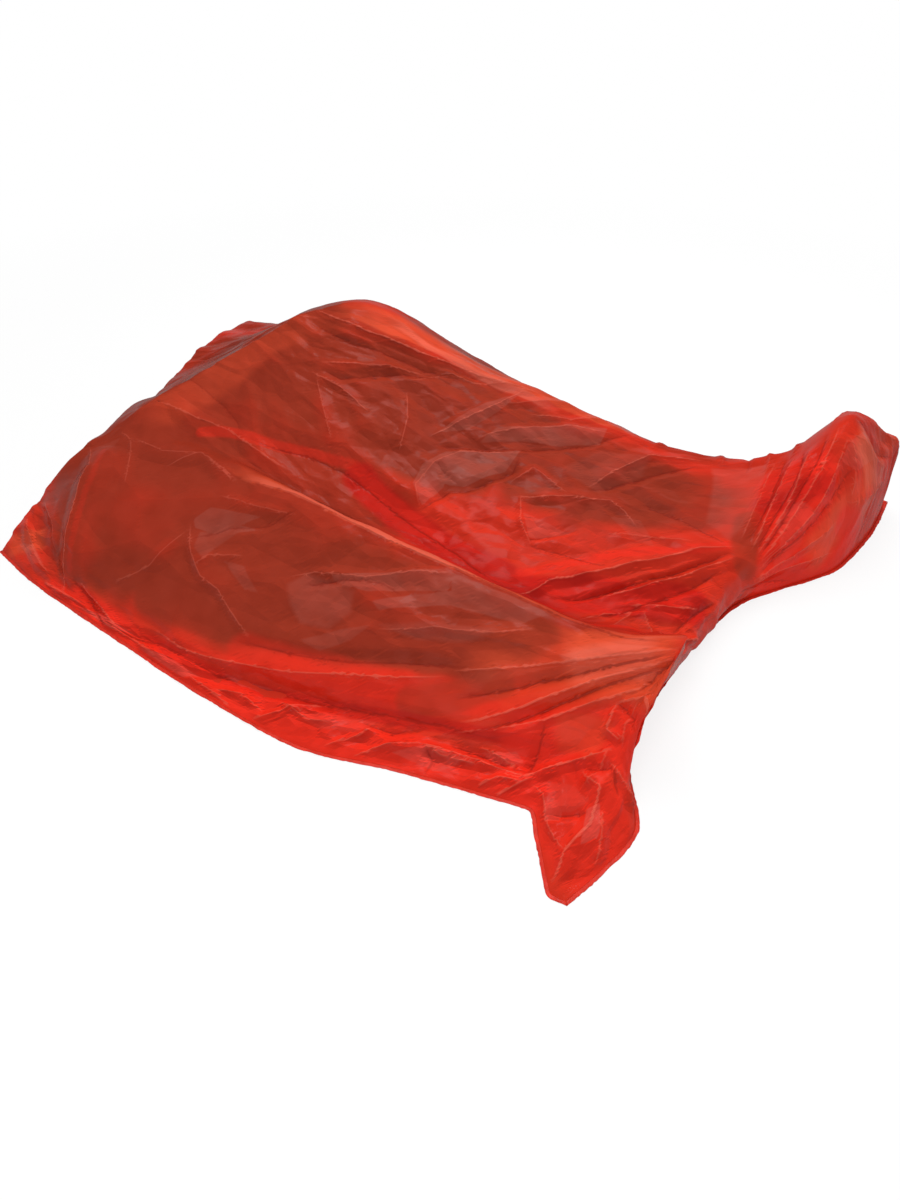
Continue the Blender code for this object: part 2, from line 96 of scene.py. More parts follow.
NEAR_CREST = (
    (-0.830, -0.200, 0.195), (-0.715, -0.150, 0.207), (-0.580, -0.152, 0.207), (-0.411, -0.160, 0.206),
    (-0.200, -0.175, 0.195), (0.050, -0.197, 0.180), (0.270, -0.222, 0.163), (0.420, -0.247, 0.162),
    (0.540, -0.268, 0.180), (0.675, -0.300, 0.248), (0.655, -0.335, 0.170), (0.630, -0.350, 0.080),
    (0.615, -0.365, 0),
)
VALLEY = (
    (-0.845, -0.030, 0.150), (-0.720, 0.000, 0.150), (-0.580, 0.000, 0.155), (-0.410, -0.060, 0.150),
    (-0.200, -0.100, 0.135), (0.050, -0.135, 0.120), (0.270, -0.150, 0.105), (0.420, -0.150, 0.098),
    (0.530, -0.130, 0.098), (0.630, -0.120, 0.100), (0.665, -0.110, 0.070), (0.665, -0.100, 0.030),
    (0.645, -0.100, 0),
)
FAR_SLOPE = (
    (-0.870, 0.140, 0.182), (-0.720, 0.180, 0.200), (-0.580, 0.200, 0.250), (-0.410, 0.170, 0.300),
    (-0.200, 0.180, 0.235), (0.050, 0.170, 0.185), (0.270, 0.160, 0.155), (0.420, 0.160, 0.135),
    (0.540, 0.160, 0.125), (0.650, 0.160, 0.120), (0.710, 0.160, 0.095), (0.725, 0.150, 0.050),
    (0.705, 0.130, 0),
)
FAR_CREST = (
    (-0.880, 0.300, 0.235), (-0.700, 0.330, 0.270), (-0.570, 0.345, 0.360), (-0.400, 0.365, 0.415),
    (-0.200, 0.430, 0.315), (0.050, 0.445, 0.233), (0.270, 0.458, 0.182), (0.430, 0.475, 0.146),
    (0.580, 0.495, 0.138), (0.700, 0.515, 0.175), (0.819, 0.530, 0.305), (0.915, 0.500, 0.140),
    (0.900, 0.400, 0),
)
FAR_FLANK = (
    (-0.900, 0.580, 0.190), (-0.720, 0.590, 0.200), (-0.580, 0.590, 0.240), (-0.400, 0.590, 0.245),
    (-0.200, 0.610, 0.190), (0.050, 0.610, 0.130), (0.270, 0.600, 0.095), (0.440, 0.575, 0.070),
    (0.580, 0.600, 0.075), (0.700, 0.650, 0.110), (0.830, 0.690, 0.230), (0.935, 0.700, 0.190),
    (0.955, 0.620, 0),
)
FAR_EDGE = (
    (-0.935, 0.690, 0), (-0.720, 0.697, 0), (-0.580, 0.702, 0), (-0.400, 0.705, 0), (-0.200, 0.705, 0),
    (0.050, 0.698, 0), (0.270, 0.680, 0), (0.440, 0.640, 0), (0.580, 0.660, 0), (0.700, 0.705, 0),
    (0.830, 0.735, 0), (0.930, 0.735, 0), (0.965, 0.730, 0),
)
LINES = np.array((
    NEAR_EDGE, SKIRT_LINE, NEAR_FLANK_LOW, NEAR_FLANK, NEAR_CREST,
    VALLEY, FAR_SLOPE, FAR_CREST, FAR_FLANK, FAR_EDGE,
))
LAST_LINE = len(LINES) - 1
LAST_STATION = LINES.shape[1] - 1
FAR_CREST_LINE = 7
DRAWN_TOP = 0.4159
CLEAR_OF_LOWER_FILM = 0.0006

# The taut fold runs from the near mound at the mouth up to the top of the far mound
TAUT_FOLD = (
    (-0.812, -0.120, 0.207), (-0.759, -0.084, 0.250), (-0.734, -0.044, 0.270), (-0.608, 0.153, 0.340),
    (-0.510, 0.267, 0.400), (-0.424, 0.349, 0.415),
)
FOLD_FALL = 0.55
FOLD_ROUNDING = 0.008

# Folds in the film: height in millimetres, outwards or, where negative, inwards; widths in millimetres of its
# left and its right side, seen along the fold from above; its points as (station, line) of the form; and how
# light its crease is painted, from -1, painted shade, to 1, painted highlight, where its height doesn't tell
Fold = namedtuple("Fold", "height left right points crease", defaults=(None,))
MOUTH_FOLDS = (
    (11, 95, 32, ((0.1, 3.82), (0.72, 3.42), (1.02, 3), (1.25, 2.35), (1.45, 1.63), (1.8, 0.32))),
    (4, 20, 35, ((0.45, 4.08), (0.95, 3.85), (1.7, 3.4))),
    (5, 50, 40, ((0.88, 3.92), (1.68, 3.88), (2.27, 4.03), (2.47, 4.02), (3.15, 3.8))),
    (5, 20, 28, ((1.95, 3.72), (2.3, 4.05), (3.1, 3.78))),
    (-7, 18, 14, ((1.7, 1.57), (2.15, 1.23), (2.6, 0.12))),
    (6, 30, 10, ((1.85, 1.62), (2.3, 1.28), (2.75, 0.45))),
    (4, 30, 20, ((0.1, 2.6), (0.7, 2.3), (1.1, 1.6))),
    (5, 25, 25, ((0.05, 1.6), (0.6, 1.1), (1.2, 0.9))),
)
NEAR_FOLDS = (
    (9, 24, 70, (
        (3, 3.84), (3.82, 3.94), (4.43, 3.9), (4.92, 3.88), (5.42, 3.9), (6.03, 3.98), (7, 3.95), (7.7, 4),
        (8.25, 3.93), (8.82, 3.85),
    ), -0.8),
    (-8, 26, 55, ((3.2, 4.2), (4.4, 4.28), (5.4, 4.3), (6.3, 4.35), (7.2, 4.3), (8.4, 4.2))),
    (4, 14, 25, ((3.05, 3.6), (3.5, 3.62), (4, 3.7))),
    (-5, 40, 18, ((3.1, 3.12), (3.42, 3.37), (3.75, 3.5), (3.97, 3.75))),
    (5, 45, 16, ((2.98, 3.28), (3.22, 2.98), (3.45, 2.75), (3.7, 2.68), (3.97, 2.4), (4.2, 2.13))),
    (4, 15, 25, ((3.3, 2.8), (3.42, 3.05), (3.75, 3.2))),
    (-6, 30, 20, (
        (2.57, 0.45), (3, 0.5), (3.3, 0.9), (3.62, 0.92), (4.05, 0.85), (4.3, 0.97), (4.72, 1.08),
        (5.17, 1.25), (5.65, 1.42), (6.25, 1.55), (7, 1.5),
    )),
    (7, 35, 35, ((3.1, 1.4), (3.55, 1.2), (3.85, 1.32), (4.57, 1.72), (5.08, 2.12), (6.03, 2.6))),
    (-6, 25, 25, ((4.05, 1.98), (4.6, 2.15), (5.08, 2.35), (5.55, 2.6), (6.2, 2.82))),
    (6, 15, 32, ((4.25, 3.18), (4.43, 3.3), (4.88, 3.42), (5.2, 3.62), (5.58, 3.82))),
    (-6, 26, 15, ((4.4, 3.15), (4.7, 3.32), (5.05, 3.43), (5.28, 3.38))),
    (5, 30, 18, ((5.2, 2.95), (5.7, 3.2), (6.3, 3.35), (6.8, 3.6))),
    (4, 22, 30, ((2.4, 2.1), (2.8, 2.6), (3, 3.2))),
)
NEAR_FOOT_FOLDS = (
    (9, 28, 38, ((9, 3.85), (8.5, 3.68), (7.12, 3.17), (6.03, 2.7))),
    (-9, 18, 20, ((8.9, 3.74), (8.4, 3.5), (7.2, 2.92), (6.2, 2.25))),
    (9, 20, 26, ((8.9, 3.65), (8.38, 3.35), (7.3, 2.63), (6.38, 1.76))),
    (-8, 16, 16, ((8.8, 3.5), (8.3, 3.15), (7.4, 2.42), (6.6, 1.6))),
    (7, 16, 20, ((8.8, 3.45), (8.62, 3.1), (7.45, 2.23), (7, 1.95), (6.38, 1.45))),
    (-9, 9, 13, ((9.2, 3.72), (8.77, 3.42), (8.65, 3.05))),
    (7, 10, 14, ((8.38, 2.77), (8.88, 3.05), (9.6, 3.1))),
    (7, 14, 14, ((8.38, 2.8), (8.5, 2.35), (9.12, 2.38))),
    (-5, 14, 12, ((8.38, 2.77), (8.77, 2.7), (9.4, 2.7))),
    (7, 14, 20, ((6.1, 0.8), (6.95, 0.68), (7.7, 0.58))),
    (-6, 14, 14, ((6.4, 1), (7, 0.82), (7.6, 0.7))),
    (6, 16, 16, ((6.78, 1.15), (7.27, 0.85), (7.7, 0.6))),
    (7, 16, 16, ((7.7, 0.62), (7.5, 0.3), (7.3, 0.02))),
    (8, 16, 20, ((7.5, 0.5), (8.1, 1.27), (8.88, 2.25))),
    (-6, 16, 20, ((7.6, 0.58), (7.55, 1.3), (7.43, 2.1))),
    (6, 20, 16, ((7.73, 0.48), (8.6, 0.22), (9.25, 0.37), (9.7, 0.57))),
    (8, 28, 20, ((8.5, 1.47), (9.3, 1.72), (9.75, 1.3), (9.7, 0.57), (10.22, 0.05))),
    (-6, 18, 14, ((8.6, 0.18), (9, 0.8), (9.43, 1.32))),
    (6, 14, 18, ((9.07, 2.05), (10.3, 2.35), (11.7, 2.72))),
    (-6, 14, 14, ((8.55, 1.55), (9.35, 2.1), (10.2, 2.05))),
    (6, 18, 18, ((9.8, 1.6), (10.6, 1.35), (11.5, 1))),
)
VALLEY_FOLDS = (
    (-9, 60, 60, (
        (2.73, 4.92), (3.53, 5.28), (3.92, 5.36), (4.25, 5.36), (4.62, 5.3), (5, 5.24), (5.35, 5.18),
        (6, 4.95),
    )),
    (12, 20, 60, ((9.35, 6.1), (8.57, 5.95), (8, 5.72), (7.27, 5.52), (6.47, 5.25), (6.03, 4.6))),
    (-11, 11, 11, ((9.35, 6.02), (8.75, 5.85), (8.2, 5.6), (7.5, 5.36), (6.6, 5.05))),
    (12, 22, 14, ((9.4, 5.98), (8.97, 5.8), (8.55, 5.62), (7.97, 5.38), (7.3, 5.25))),
    (-8, 18, 18, ((9.3, 5.8), (8.6, 5.45), (8, 5.15), (7.3, 4.9))),
    (6, 16, 22, ((7.2, 4.75), (7.57, 5.05), (8.02, 5.12), (7.85, 4.7))),
    (7, 28, 14, ((7.9, 5.2), (8.62, 5.27), (9.4, 5.37))),
    (6, 20, 20, ((8.2, 5.18), (8.5, 4.9), (8.62, 4.35))),
    (-6, 20, 14, ((8.9, 4.95), (9.43, 5.3), (9.85, 5.55))),
    (7, 14, 14, ((9, 4.6), (9.6, 5), (10.6, 5.2))),
    (5, 30, 30, ((0.8, 4.6), (2, 4.7), (3.4, 4.95))),
    (-4, 30, 30, ((0.4, 5.2), (1.6, 5.1), (2.6, 4.9))),
)
FAR_FOLDS = (
    (8, 50, 18, ((2.45, 6.72), (3.33, 6.62), (3.95, 6.73), (4.53, 6.9), (5.2, 7.1))),
    (-5, 15, 32, ((2.5, 6.5), (3.3, 6.42), (3.95, 6.55), (4.6, 6.75))),
    (5, 14, 25, ((3.05, 6.08), (3.58, 6.27), (4.1, 6.55))),
    (-6, 25, 15, ((3.1, 6), (3.38, 6), (3.6, 6.12), (3.95, 6.4), (4.25, 6.6))),
    (6, 20, 32, ((3, 5.93), (3.38, 5.93), (3.85, 5.84))),
    (4, 30, 30, ((3.1, 5.9), (3.35, 5.7), (3.65, 5.5))),
    (5, 20, 32, ((4, 6.35), (4.3, 6.72), (4.55, 6.75), (4.8, 7.02))),
    (7, 25, 25, ((4.45, 5.95), (4.62, 6.25), (4.83, 6.58), (5, 7.05))),
    (6, 20, 36, ((4.85, 6.18), (4.98, 6.33), (5.3, 6.57), (5.65, 6.75), (6.15, 6.92))),
    (-6, 32, 15, ((4.5, 5.9), (4.92, 6.1), (5.25, 6.25), (5.7, 6.48), (5.97, 6.62), (6.4, 7.1))),
    (5, 14, 38, ((4.76, 5.42), (4.6, 5.57), (4.64, 5.78), (4.8, 6), (5.28, 6.22))),
    (-7, 32, 14, ((4.77, 5.4), (4.92, 5.64), (5.08, 5.7), (5.25, 5.86), (5.38, 6.02), (5.34, 6.22))),
    (-3, 12, 12, ((4.65, 5.8), (4.8, 5.74), (4.98, 5.72))),
    (5, 25, 25, ((4.05, 6.25), (4.2, 6), (4.3, 5.72))),
    (5, 20, 20, ((4.9, 6.68), (5.2, 6.95), (5.55, 7.28))),
    (5, 20, 20, ((5.15, 6.7), (5.58, 6.85), (5.95, 7.25))),
    (7, 20, 42, ((7.6, 6.98), (6.82, 6.77), (6.45, 6.4), (6.25, 6.18))),
    (-7, 25, 20, ((6.25, 6.14), (6.68, 6.33), (7.08, 6.58), (7.6, 6.84))),
    (5, 18, 16, ((5.4, 5.9), (5.55, 6.14), (6.07, 6.02))),
    (7, 34, 20, ((5.5, 5.8), (6.15, 6), (6.68, 6.12), (6.98, 6.07), (7.35, 5.95))),
    (5, 32, 12, ((5.58, 5.84), (5.75, 5.63), (6, 5.5))),
    (-5, 26, 12, ((5.9, 5.52), (6.15, 5.62), (6.45, 5.74))),
    (-6, 26, 38, ((5.9, 5.5), (6.52, 5.52), (7.2, 5.52))),
    (-6, 26, 26, ((7.1, 6.23), (7.75, 6.2), (8.38, 6.15), (9, 6.07))),
    (5, 35, 25, ((6.9, 5.8), (7.6, 5.9), (8.4, 6))),
    (4, 40, 40, ((1.2, 5.8), (2, 6.3), (2.7, 6.6))),
)
FAR_FOOT_FOLDS = (
    (5, 15, 15, ((9.3, 6.15), (9, 6.62), (8.9, 6.95))),
    (-7, 13, 13, ((9.55, 6.15), (9.2, 6.58), (9.06, 6.95))),
    (8, 15, 18, ((9.75, 6.12), (9.43, 6.5), (9.22, 6.9))),
    (-9, 14, 14, ((9.95, 6.12), (9.68, 6.45), (9.38, 6.88))),
    (10, 20, 17, ((10.1, 6.12), (9.93, 6.38), (9.52, 6.82))),
    (-7, 16, 16, ((10.25, 6.12), (10.05, 6.42), (9.72, 6.86))),
    (7, 18, 18, ((10.4, 6.12), (10.15, 6.5), (9.88, 6.9))),
    (10, 22, 22, ((10.6, 6.1), (10.48, 6.48), (10.12, 6.85))),
    (-6, 18, 18, ((10.75, 6.1), (10.72, 6.42), (10.45, 6.8))),
    (6, 18, 18, ((10.85, 6.05), (10.98, 6.35), (10.9, 6.65))),
    (6, 20, 20, ((11, 6.05), (11.35, 6.4), (11.65, 6.8))),
    (-5, 18, 18, ((10.95, 5.9), (11.5, 6.15), (11.9, 6.5))),
    (6, 22, 14, ((10.12, 6.86), (10.45, 6.8), (10.8, 6.72))),
    (6, 16, 26, ((10.15, 6.86), (10.57, 7.07), (10.97, 7.42))),
    (5, 20, 16, ((10.78, 6.72), (10.95, 7), (11.3, 7.55))),
    (-6, 16, 20, ((10.05, 7.05), (10.53, 7.2), (11.15, 7.7))),
    (6, 16, 20, ((10, 7.25), (10.5, 7.6), (11.3, 8.2))),
    (5, 12, 16, ((6.75, 6.95), (6.9, 7.5), (6.85, 8.3)), 0.3),
    (6, 14, 12, ((7.95, 6.9), (7.75, 7.6), (7.6, 8.5)), 0.3),
    (-5, 14, 12, ((8.45, 6.8), (8.3, 7.5), (8.2, 8.4)), -0.3),
    (6, 10, 14, ((8.85, 6.7), (8.72, 7.4), (8.65, 8.4)), 0.3),
    (6, 12, 10, ((9.25, 6.8), (9.2, 7.5), (9.15, 8.4)), 0.3),
    (5, 14, 14, ((9.7, 6.95), (9.85, 7.6), (9.95, 8.4)), 0.3),
)
FAR_FLANK_FOLDS = (
    (6, 30, 40, ((3, 7.2), (2.6, 7.9), (2.2, 8.7)), 0.3),
    (-5, 26, 26, ((3.05, 7.3), (3.1, 8), (3, 8.8)), -0.3),
    (6, 40, 30, ((3.2, 7.2), (3.8, 7.9), (4.3, 8.7)), 0.3),
    (5, 30, 40, ((2.7, 7.2), (1.9, 7.8), (1.2, 8.6)), 0.3),
    (-5, 30, 30, ((2.4, 7.3), (1.4, 7.6), (0.5, 8)), -0.3),
    (5, 30, 30, ((3.6, 7.3), (4.7, 7.8), (5.6, 8.6)), 0.3),
    (-5, 25, 30, ((4.2, 7.4), (5.3, 7.7), (6.4, 8.2)), -0.3),
    (6, 26, 20, ((5, 8.3), (6.2, 8), (7.4, 7.9), (8.6, 7.7)), 0.3),
    (5, 16, 20, ((7.2, 8.8), (7.6, 8.3), (8.3, 7.9)), 0.3),
    (-5, 16, 16, ((8, 8.8), (8.4, 8.4), (8.9, 8)), -0.3),
    (6, 20, 20, ((9.2, 8), (9.9, 8.2), (10.6, 8.7)), 0.3),
    (-5, 16, 20, ((9.3, 7.7), (10.1, 7.9), (11, 8.3)), -0.3),
    (6, 24, 20, ((10.1, 7.1), (10.7, 7.8), (11.5, 8.5)), 0.3),
    (4, 30, 30, ((0.3, 7.2), (0.9, 8), (1.2, 8.8)), 0.3),
    (-4, 30, 30, ((0.2, 8.2), (0.9, 8.5), (1.8, 8.8)), -0.3),
    (5, 20, 26, ((3.4, 8.6), (4.6, 8.45), (5.8, 8.55)), 0.3),
    (-4, 20, 26, ((1.4, 8.2), (2.3, 8.4), (3.4, 8.45)), -0.3),
)
SKIRT_FOLDS = (
    (6, 14, 18, ((4.55, 0.05), (4.83, 0.85), (5.05, 1.2))),
    (6, 12, 16, ((5.55, 0.05), (5.8, 0.5), (6.15, 0.82))),
    (6, 16, 10, ((6.15, 0.77), (6.4, 0.58), (6.85, 0.58))),
    (5, 10, 14, ((4.1, 0.33), (4.33, 0.57), (4.6, 0.37))),
    (-5, 14, 12, ((6.33, 0.05), (6.35, 0.4), (6.2, 0.72))),
    (6, 12, 14, ((6.98, 0.1), (7.2, 0.42), (7.55, 0.45))),
    (5, 12, 10, ((4.65, 0.8), (4.97, 0.6), (5.2, 0.72))),
    (5, 12, 12, ((3.8, 0.32), (4.1, 0.2), (4.35, 0.05))),
    (-5, 12, 14, ((5.42, 1), (5.8, 0.92), (6.12, 1.38))),
    (5, 12, 14, ((5.25, 0.15), (5.5, 0.6), (5.6, 1.1))),
    (5, 10, 14, ((2.2, 0.55), (2.6, 0.3), (3, 0.4), (3.4, 0.25))),
    (5, 12, 12, ((1.2, 0.3), (1.6, 0.6), (2.1, 0.7))),
    (3, 12, 14, ((8.8, 2.22), (8.97, 1.83), (8.85, 1.43)), 0.6),
    (3, 12, 12, ((8.77, 2.95), (8.82, 2.55), (9.17, 2.37)), 0.6),
)
FOLDS = [Fold(*row) for row in (
    MOUTH_FOLDS + NEAR_FOLDS + NEAR_FOOT_FOLDS + VALLEY_FOLDS + FAR_FOLDS + FAR_FOOT_FOLDS + FAR_FLANK_FOLDS
    + SKIRT_FOLDS
)]

# A fold falls away over a share of its length at either end, and a share of its width rounds its crest. Its
# crease is painted as a full highlight, or a full shade where the fold sinks, from a height in millimetres
# on, and is marked from a share of its full height on.
FOLD_END = 0.22
CREST_ROUNDING = 0.03
LIGHT_FOLD = 8
MARKED_END = 0.02

# Facets of the crumpled film: length and width of their cells, height in calm and in crumpled film, and seed
Facets = namedtuple("Facets", "length width calm crumpled seed")
FACETS = (
    Facets(0.210, 0.100, 0.0080, 0.0080, 11),
    Facets(0.095, 0.052, 0.0015, 0.0085, 21),
    Facets(0.046, 0.028, 0.0003, 0.0032, 31),
)

# How crumpled the film is, in soft-edged areas: amount, station, line, half its stations, half its lines
CRUMPLED = (
    (1.00, 4.5, 0.4, 5.0, 0.9), (0.55, 9.5, 0.9, 2.2, 1.6), (0.80, 0.6, 1.2, 1.1, 1.3),
    (0.75, 9.0, 5.0, 1.5, 0.9), (0.60, 11.3, 7.5, 1.3, 1.8), (0.80, 6.0, 8.6, 6.5, 0.9),
    (0.55, 11.6, 4.5, 0.9, 3.0), (0.40, 7.0, 5.9, 1.8, 0.7), (0.70, 0.3, 8.0, 0.9, 1.2),
    (0.60, 6.0, 6.0, 3.0, 1.2), (0.45, 5.2, 3.2, 1.6, 0.8),
)

# Measuring the form: places along it, probes across it, and steps on it for each stretch of a drawn line
FINE_PLACES = 801
PROBES = 25
LINE_STEPS = 4

# Shares of a cell of the mesh: how far a point may slide onto a crease, and the smallest cell that is kept
SNAP_SHARE = 0.48
SMALLEST_CELL = 0.12

# A point's crest is the number of its fold or, from this one on, that of a facets' crease, or -1
FIRST_FACET_EDGE = 1000

# Noise: cells along each side of the lattice, a distance in cells that none reaches, and layers of noise,
# each with its amount, the length and width of its cells and its seed
LATTICE = 64
FAR_FROM_CELL = 9.0
SWELLS = ((1.0, 0.21, 0.13, 1), (0.5, 0.09, 0.07, 2))
STROKE_WANDER = ((0.08, 0.035, 0.03, 31), (0.10, 0.09, 0.06, 32))
PAINTED_SHEEN_UNEVEN = ((0.25, 0.03, 0.02, 31), (0.15, 0.012, 0.012, 32))

# Width of the calm film beside the welds
EDGE_CALM = 0.03

# Distance in millimetres that a point without a crease is marked with
FAR_FROM_CREASE = 9.0

# Strokes of colour, each laid over those before it: name of the colour, how far it covers, widths in
# millimetres of its left and right side, and its points as (station, line). The film is brown over what fills
# the bag, which stands for what fills it seen through the film and is partly painted shade where it keeps
# light from coming through. Deep is painted shade in the valley and in creases, bright and orange are painted
# light glowing through free film, and glint is a painted highlight and sheen.
Stroke = namedtuple("Stroke", "colour amount left right points")
STROKE_ROWS = (
    ("brown", 0.90, 260, 170, ((0.95, 3.25), (1.85, 3), (3, 3), (4, 3.05))),
    ("brown", 0.80, 170, 110, ((3.6, 3.05), (4.83, 3.05), (5.6, 3.22), (6.1, 3.35))),
    ("brown", 0.55, 120, 90, ((4.6, 3.05), (5.6, 3.2), (6.4, 3.4), (7.2, 3.55))),
    ("brown", 0.75, 90, 38, ((2.9, 2.1), (3.68, 2.15), (4.47, 2.4), (5.32, 2.72), (6.3, 2.95))),
    ("brown", 1.00, 190, 200, ((1.8, 5.9), (2.45, 6.1), (3.27, 6.1), (4, 6.1), (4.6, 6.15))),
    ("brown", 0.90, 190, 150, ((4.3, 6.15), (5.03, 6.2), (5.8, 6.2), (6.6, 6.25))),
    ("brown", 0.70, 130, 110, ((6.4, 6.25), (7.2, 6.32), (7.8, 6.36))),
    ("brown", 0.75, 150, 130, ((0.6, 4.4), (1.3, 4.6), (2, 4.8), (2.9, 4.85), (4.2, 5))),
    ("brown", 0.85, 110, 120, ((0.45, 3.6), (0.95, 3.5), (1.4, 3.9), (2, 4.3))),
    ("brown", 0.80, 150, 200, ((0.3, 5.5), (0.9, 6.6), (1.6, 7.4), (3, 8), (4.2, 7.9))),
    ("brown", 0.75, 150, 190, ((0.5, 8.1), (2, 8.3), (3.6, 8.2), (5, 8))),
    ("brown", 0.45, 90, 90, ((4.8, 8.1), (6, 7.9), (7.4, 7.6))),
    ("deep", 0.60, 30, 26, ((0.4, 8.72), (2, 8.78), (4, 8.76), (6.4, 8.7))),
    ("orange", 0.35, 50, 70, ((9.6, 7.9), (10.4, 7.8), (11.2, 8.1))),
    ("deep", 0.85, 40, 40, ((4.1, 5.4), (4.6, 5.3), (5.1, 5.22), (5.72, 5.15), (6.3, 5.05))),
    ("bright", 0.45, 14, 14, (
        (1.95, 4.5), (2.88, 5.03), (3.55, 5.33), (3.97, 5.45), (4.6, 5.37), (5.1, 5.28),
    )),
    ("orange", 0.25, 30, 60, (
        (0.6, 4.3), (1.15, 4.65), (1.47, 5.15), (1.95, 5.75), (2.38, 6.25), (2.73, 6.7),
    )),
    ("orange", 0.70, 60, 16, ((2.8, 6.75), (3.55, 6.8), (4.17, 6.95), (4.92, 7.05), (5.9, 7.1), (6.62, 7.2))),
    ("glint", 0.45, 16, 14, ((3.4, 6.95), (3.97, 6.88), (4.43, 6.9), (4.97, 6.93), (5.45, 6.92))),
    ("orange", 0.60, 36, 3, (
        (2.7, 3.95), (3.2, 3.86), (3.82, 3.94), (4.43, 3.9), (4.92, 3.88), (5.42, 3.9), (6.03, 3.98),
        (7, 3.95), (7.7, 4),
    )),
    ("deep", 0.35, 60, 16, ((4.6, 4.4), (5.2, 4.42), (6, 4.45), (7, 4.5), (8, 4.5))),
    ("glint", 0.42, 20, 2, ((3.1, 3.86), (3.82, 3.94), (4.43, 3.9), (4.92, 3.88), (5.42, 3.9), (6.03, 3.98))),
    ("bright", 0.30, 24, 24, (
        (3.4, 1.13), (4.1, 1.28), (4.75, 1.5), (5.67, 2.1), (6.17, 2.22), (7.27, 2.32),
    )),
    ("bright", 0.40, 45, 40, ((4.2, 1.8), (4.7, 1.85), (5.2, 2), (5.65, 2.15))),
    ("brown", 0.45, 34, 30, ((5.8, 2), (6.25, 2.35), (6.6, 2.7))),
    ("deep", 0.70, 14, 14, ((3.15, 0.8), (4.2, 0.85), (4.95, 1.08), (5.75, 1.45), (6.4, 1.6), (7.3, 1.6))),
    ("bright", 0.75, 40, 70, ((1.6, 0.3), (3.05, 0.2), (4.2, 0.3), (5.25, 0.5), (6.28, 0.5), (7.53, 0.48))),
    ("bright", 0.60, 90, 90, ((8, 0.5), (8.8, 0.9), (9.6, 1.2), (11, 1.27))),
    ("deep", 0.90, 60, 50, ((6.45, 5.02), (7.12, 5.22), (7.97, 5.25), (8.95, 5.35))),
    ("bright", 0.35, 50, 40, ((6.8, 5.1), (7.6, 5.25), (8.6, 5.3))),
    ("bright", 0.70, 22, 22, ((7.5, 4.4), (8.1, 4.7), (8.77, 4.6))),
    ("bright", 0.55, 14, 14, ((6.07, 5.26), (7, 5.6), (8.28, 5.88), (9.2, 6.1))),
    ("orange", 0.35, 40, 110, ((6, 3.3), (7.3, 3.5), (8.38, 3.68), (9.15, 3.83))),
    ("brown", 0.75, 60, 55, ((5.2, 3.5), (6.1, 3.5), (6.7, 3.5))),
    ("orange", 0.70, 40, 80, ((7.2, 3.45), (7.85, 3.6), (8.38, 3.68), (9.15, 3.83))),
    ("bright", 0.70, 60, 70, ((7.4, 1.6), (8.2, 1.9), (8.8, 2.4))),
    ("orange", 0.30, 35, 35, ((7.6, 1.9), (8.2, 2.1), (8.7, 2.2))),
    ("glint", 0.30, 30, 45, ((7.3, 3.2), (7.9, 3.45), (8.6, 3.75))),
    ("orange", 0.60, 25, 30, ((0.05, 0.25), (0.35, 0.9), (0.68, 1.85))),
    ("brown", 0.60, 25, 20, ((0.25, 3.4), (0.62, 3), (0.95, 2.3))),
    ("brown", 0.60, 46, 40, ((0.55, 3.5), (0.85, 3.2), (1.05, 2.8), (1.3, 2.2), (1.5, 1.7))),
    ("bright", 0.20, 10, 5, ((0.62, 3.65), (1, 3.3), (1.18, 3), (1.42, 2.45), (1.58, 1.77))),
    ("brown", 0.65, 34, 34, ((9.2, 6.3), (9.5, 6.12), (9.9, 6))),
    ("bright", 0.85, 90, 90, ((9.55, 6.6), (10.2, 6.45), (10.9, 6.35), (11.6, 6.4))),
    ("bright", 0.80, 60, 60, ((10.9, 6.8), (11.4, 6.85), (11.8, 6.8))),
    ("deep", 0.65, 26, 26, ((9.2, 6.45), (9.8, 6.42), (10.12, 6.52), (10.35, 6.6))),
    ("orange", 0.50, 50, 50, ((11.35, 6.47), (10.9, 6.67), (10.75, 6.95))),
    ("orange", 0.95, 34, 34, ((10.2, 6.9), (10.5, 6.98), (10.9, 6.95))),
    ("glint", 0.12, 26, 26, ((10.25, 6.8), (10.5, 6.92), (10.8, 7))),
    ("orange", 0.50, 26, 26, ((10.6, 7.4), (11.1, 7.1), (11.4, 6.95))),
    ("bright", 0.75, 40, 40, ((11.05, 6.75), (11.4, 6.9), (11.8, 7.05))),
)
STROKES = [Stroke(*row) for row in STROKE_ROWS]

# Share of its length over which a stroke dies away at an end, its reach in widths, the height at which the
# film stands off what fills the bag, and the least and the most of the brown, with its painted shade, that
# this leaves
STROKE_END = 0.15
STROKE_REACH = 1.6
STAND_OFF = 0.020
LEAST_BROWN, MOST_BROWN = 0.7, 1.1
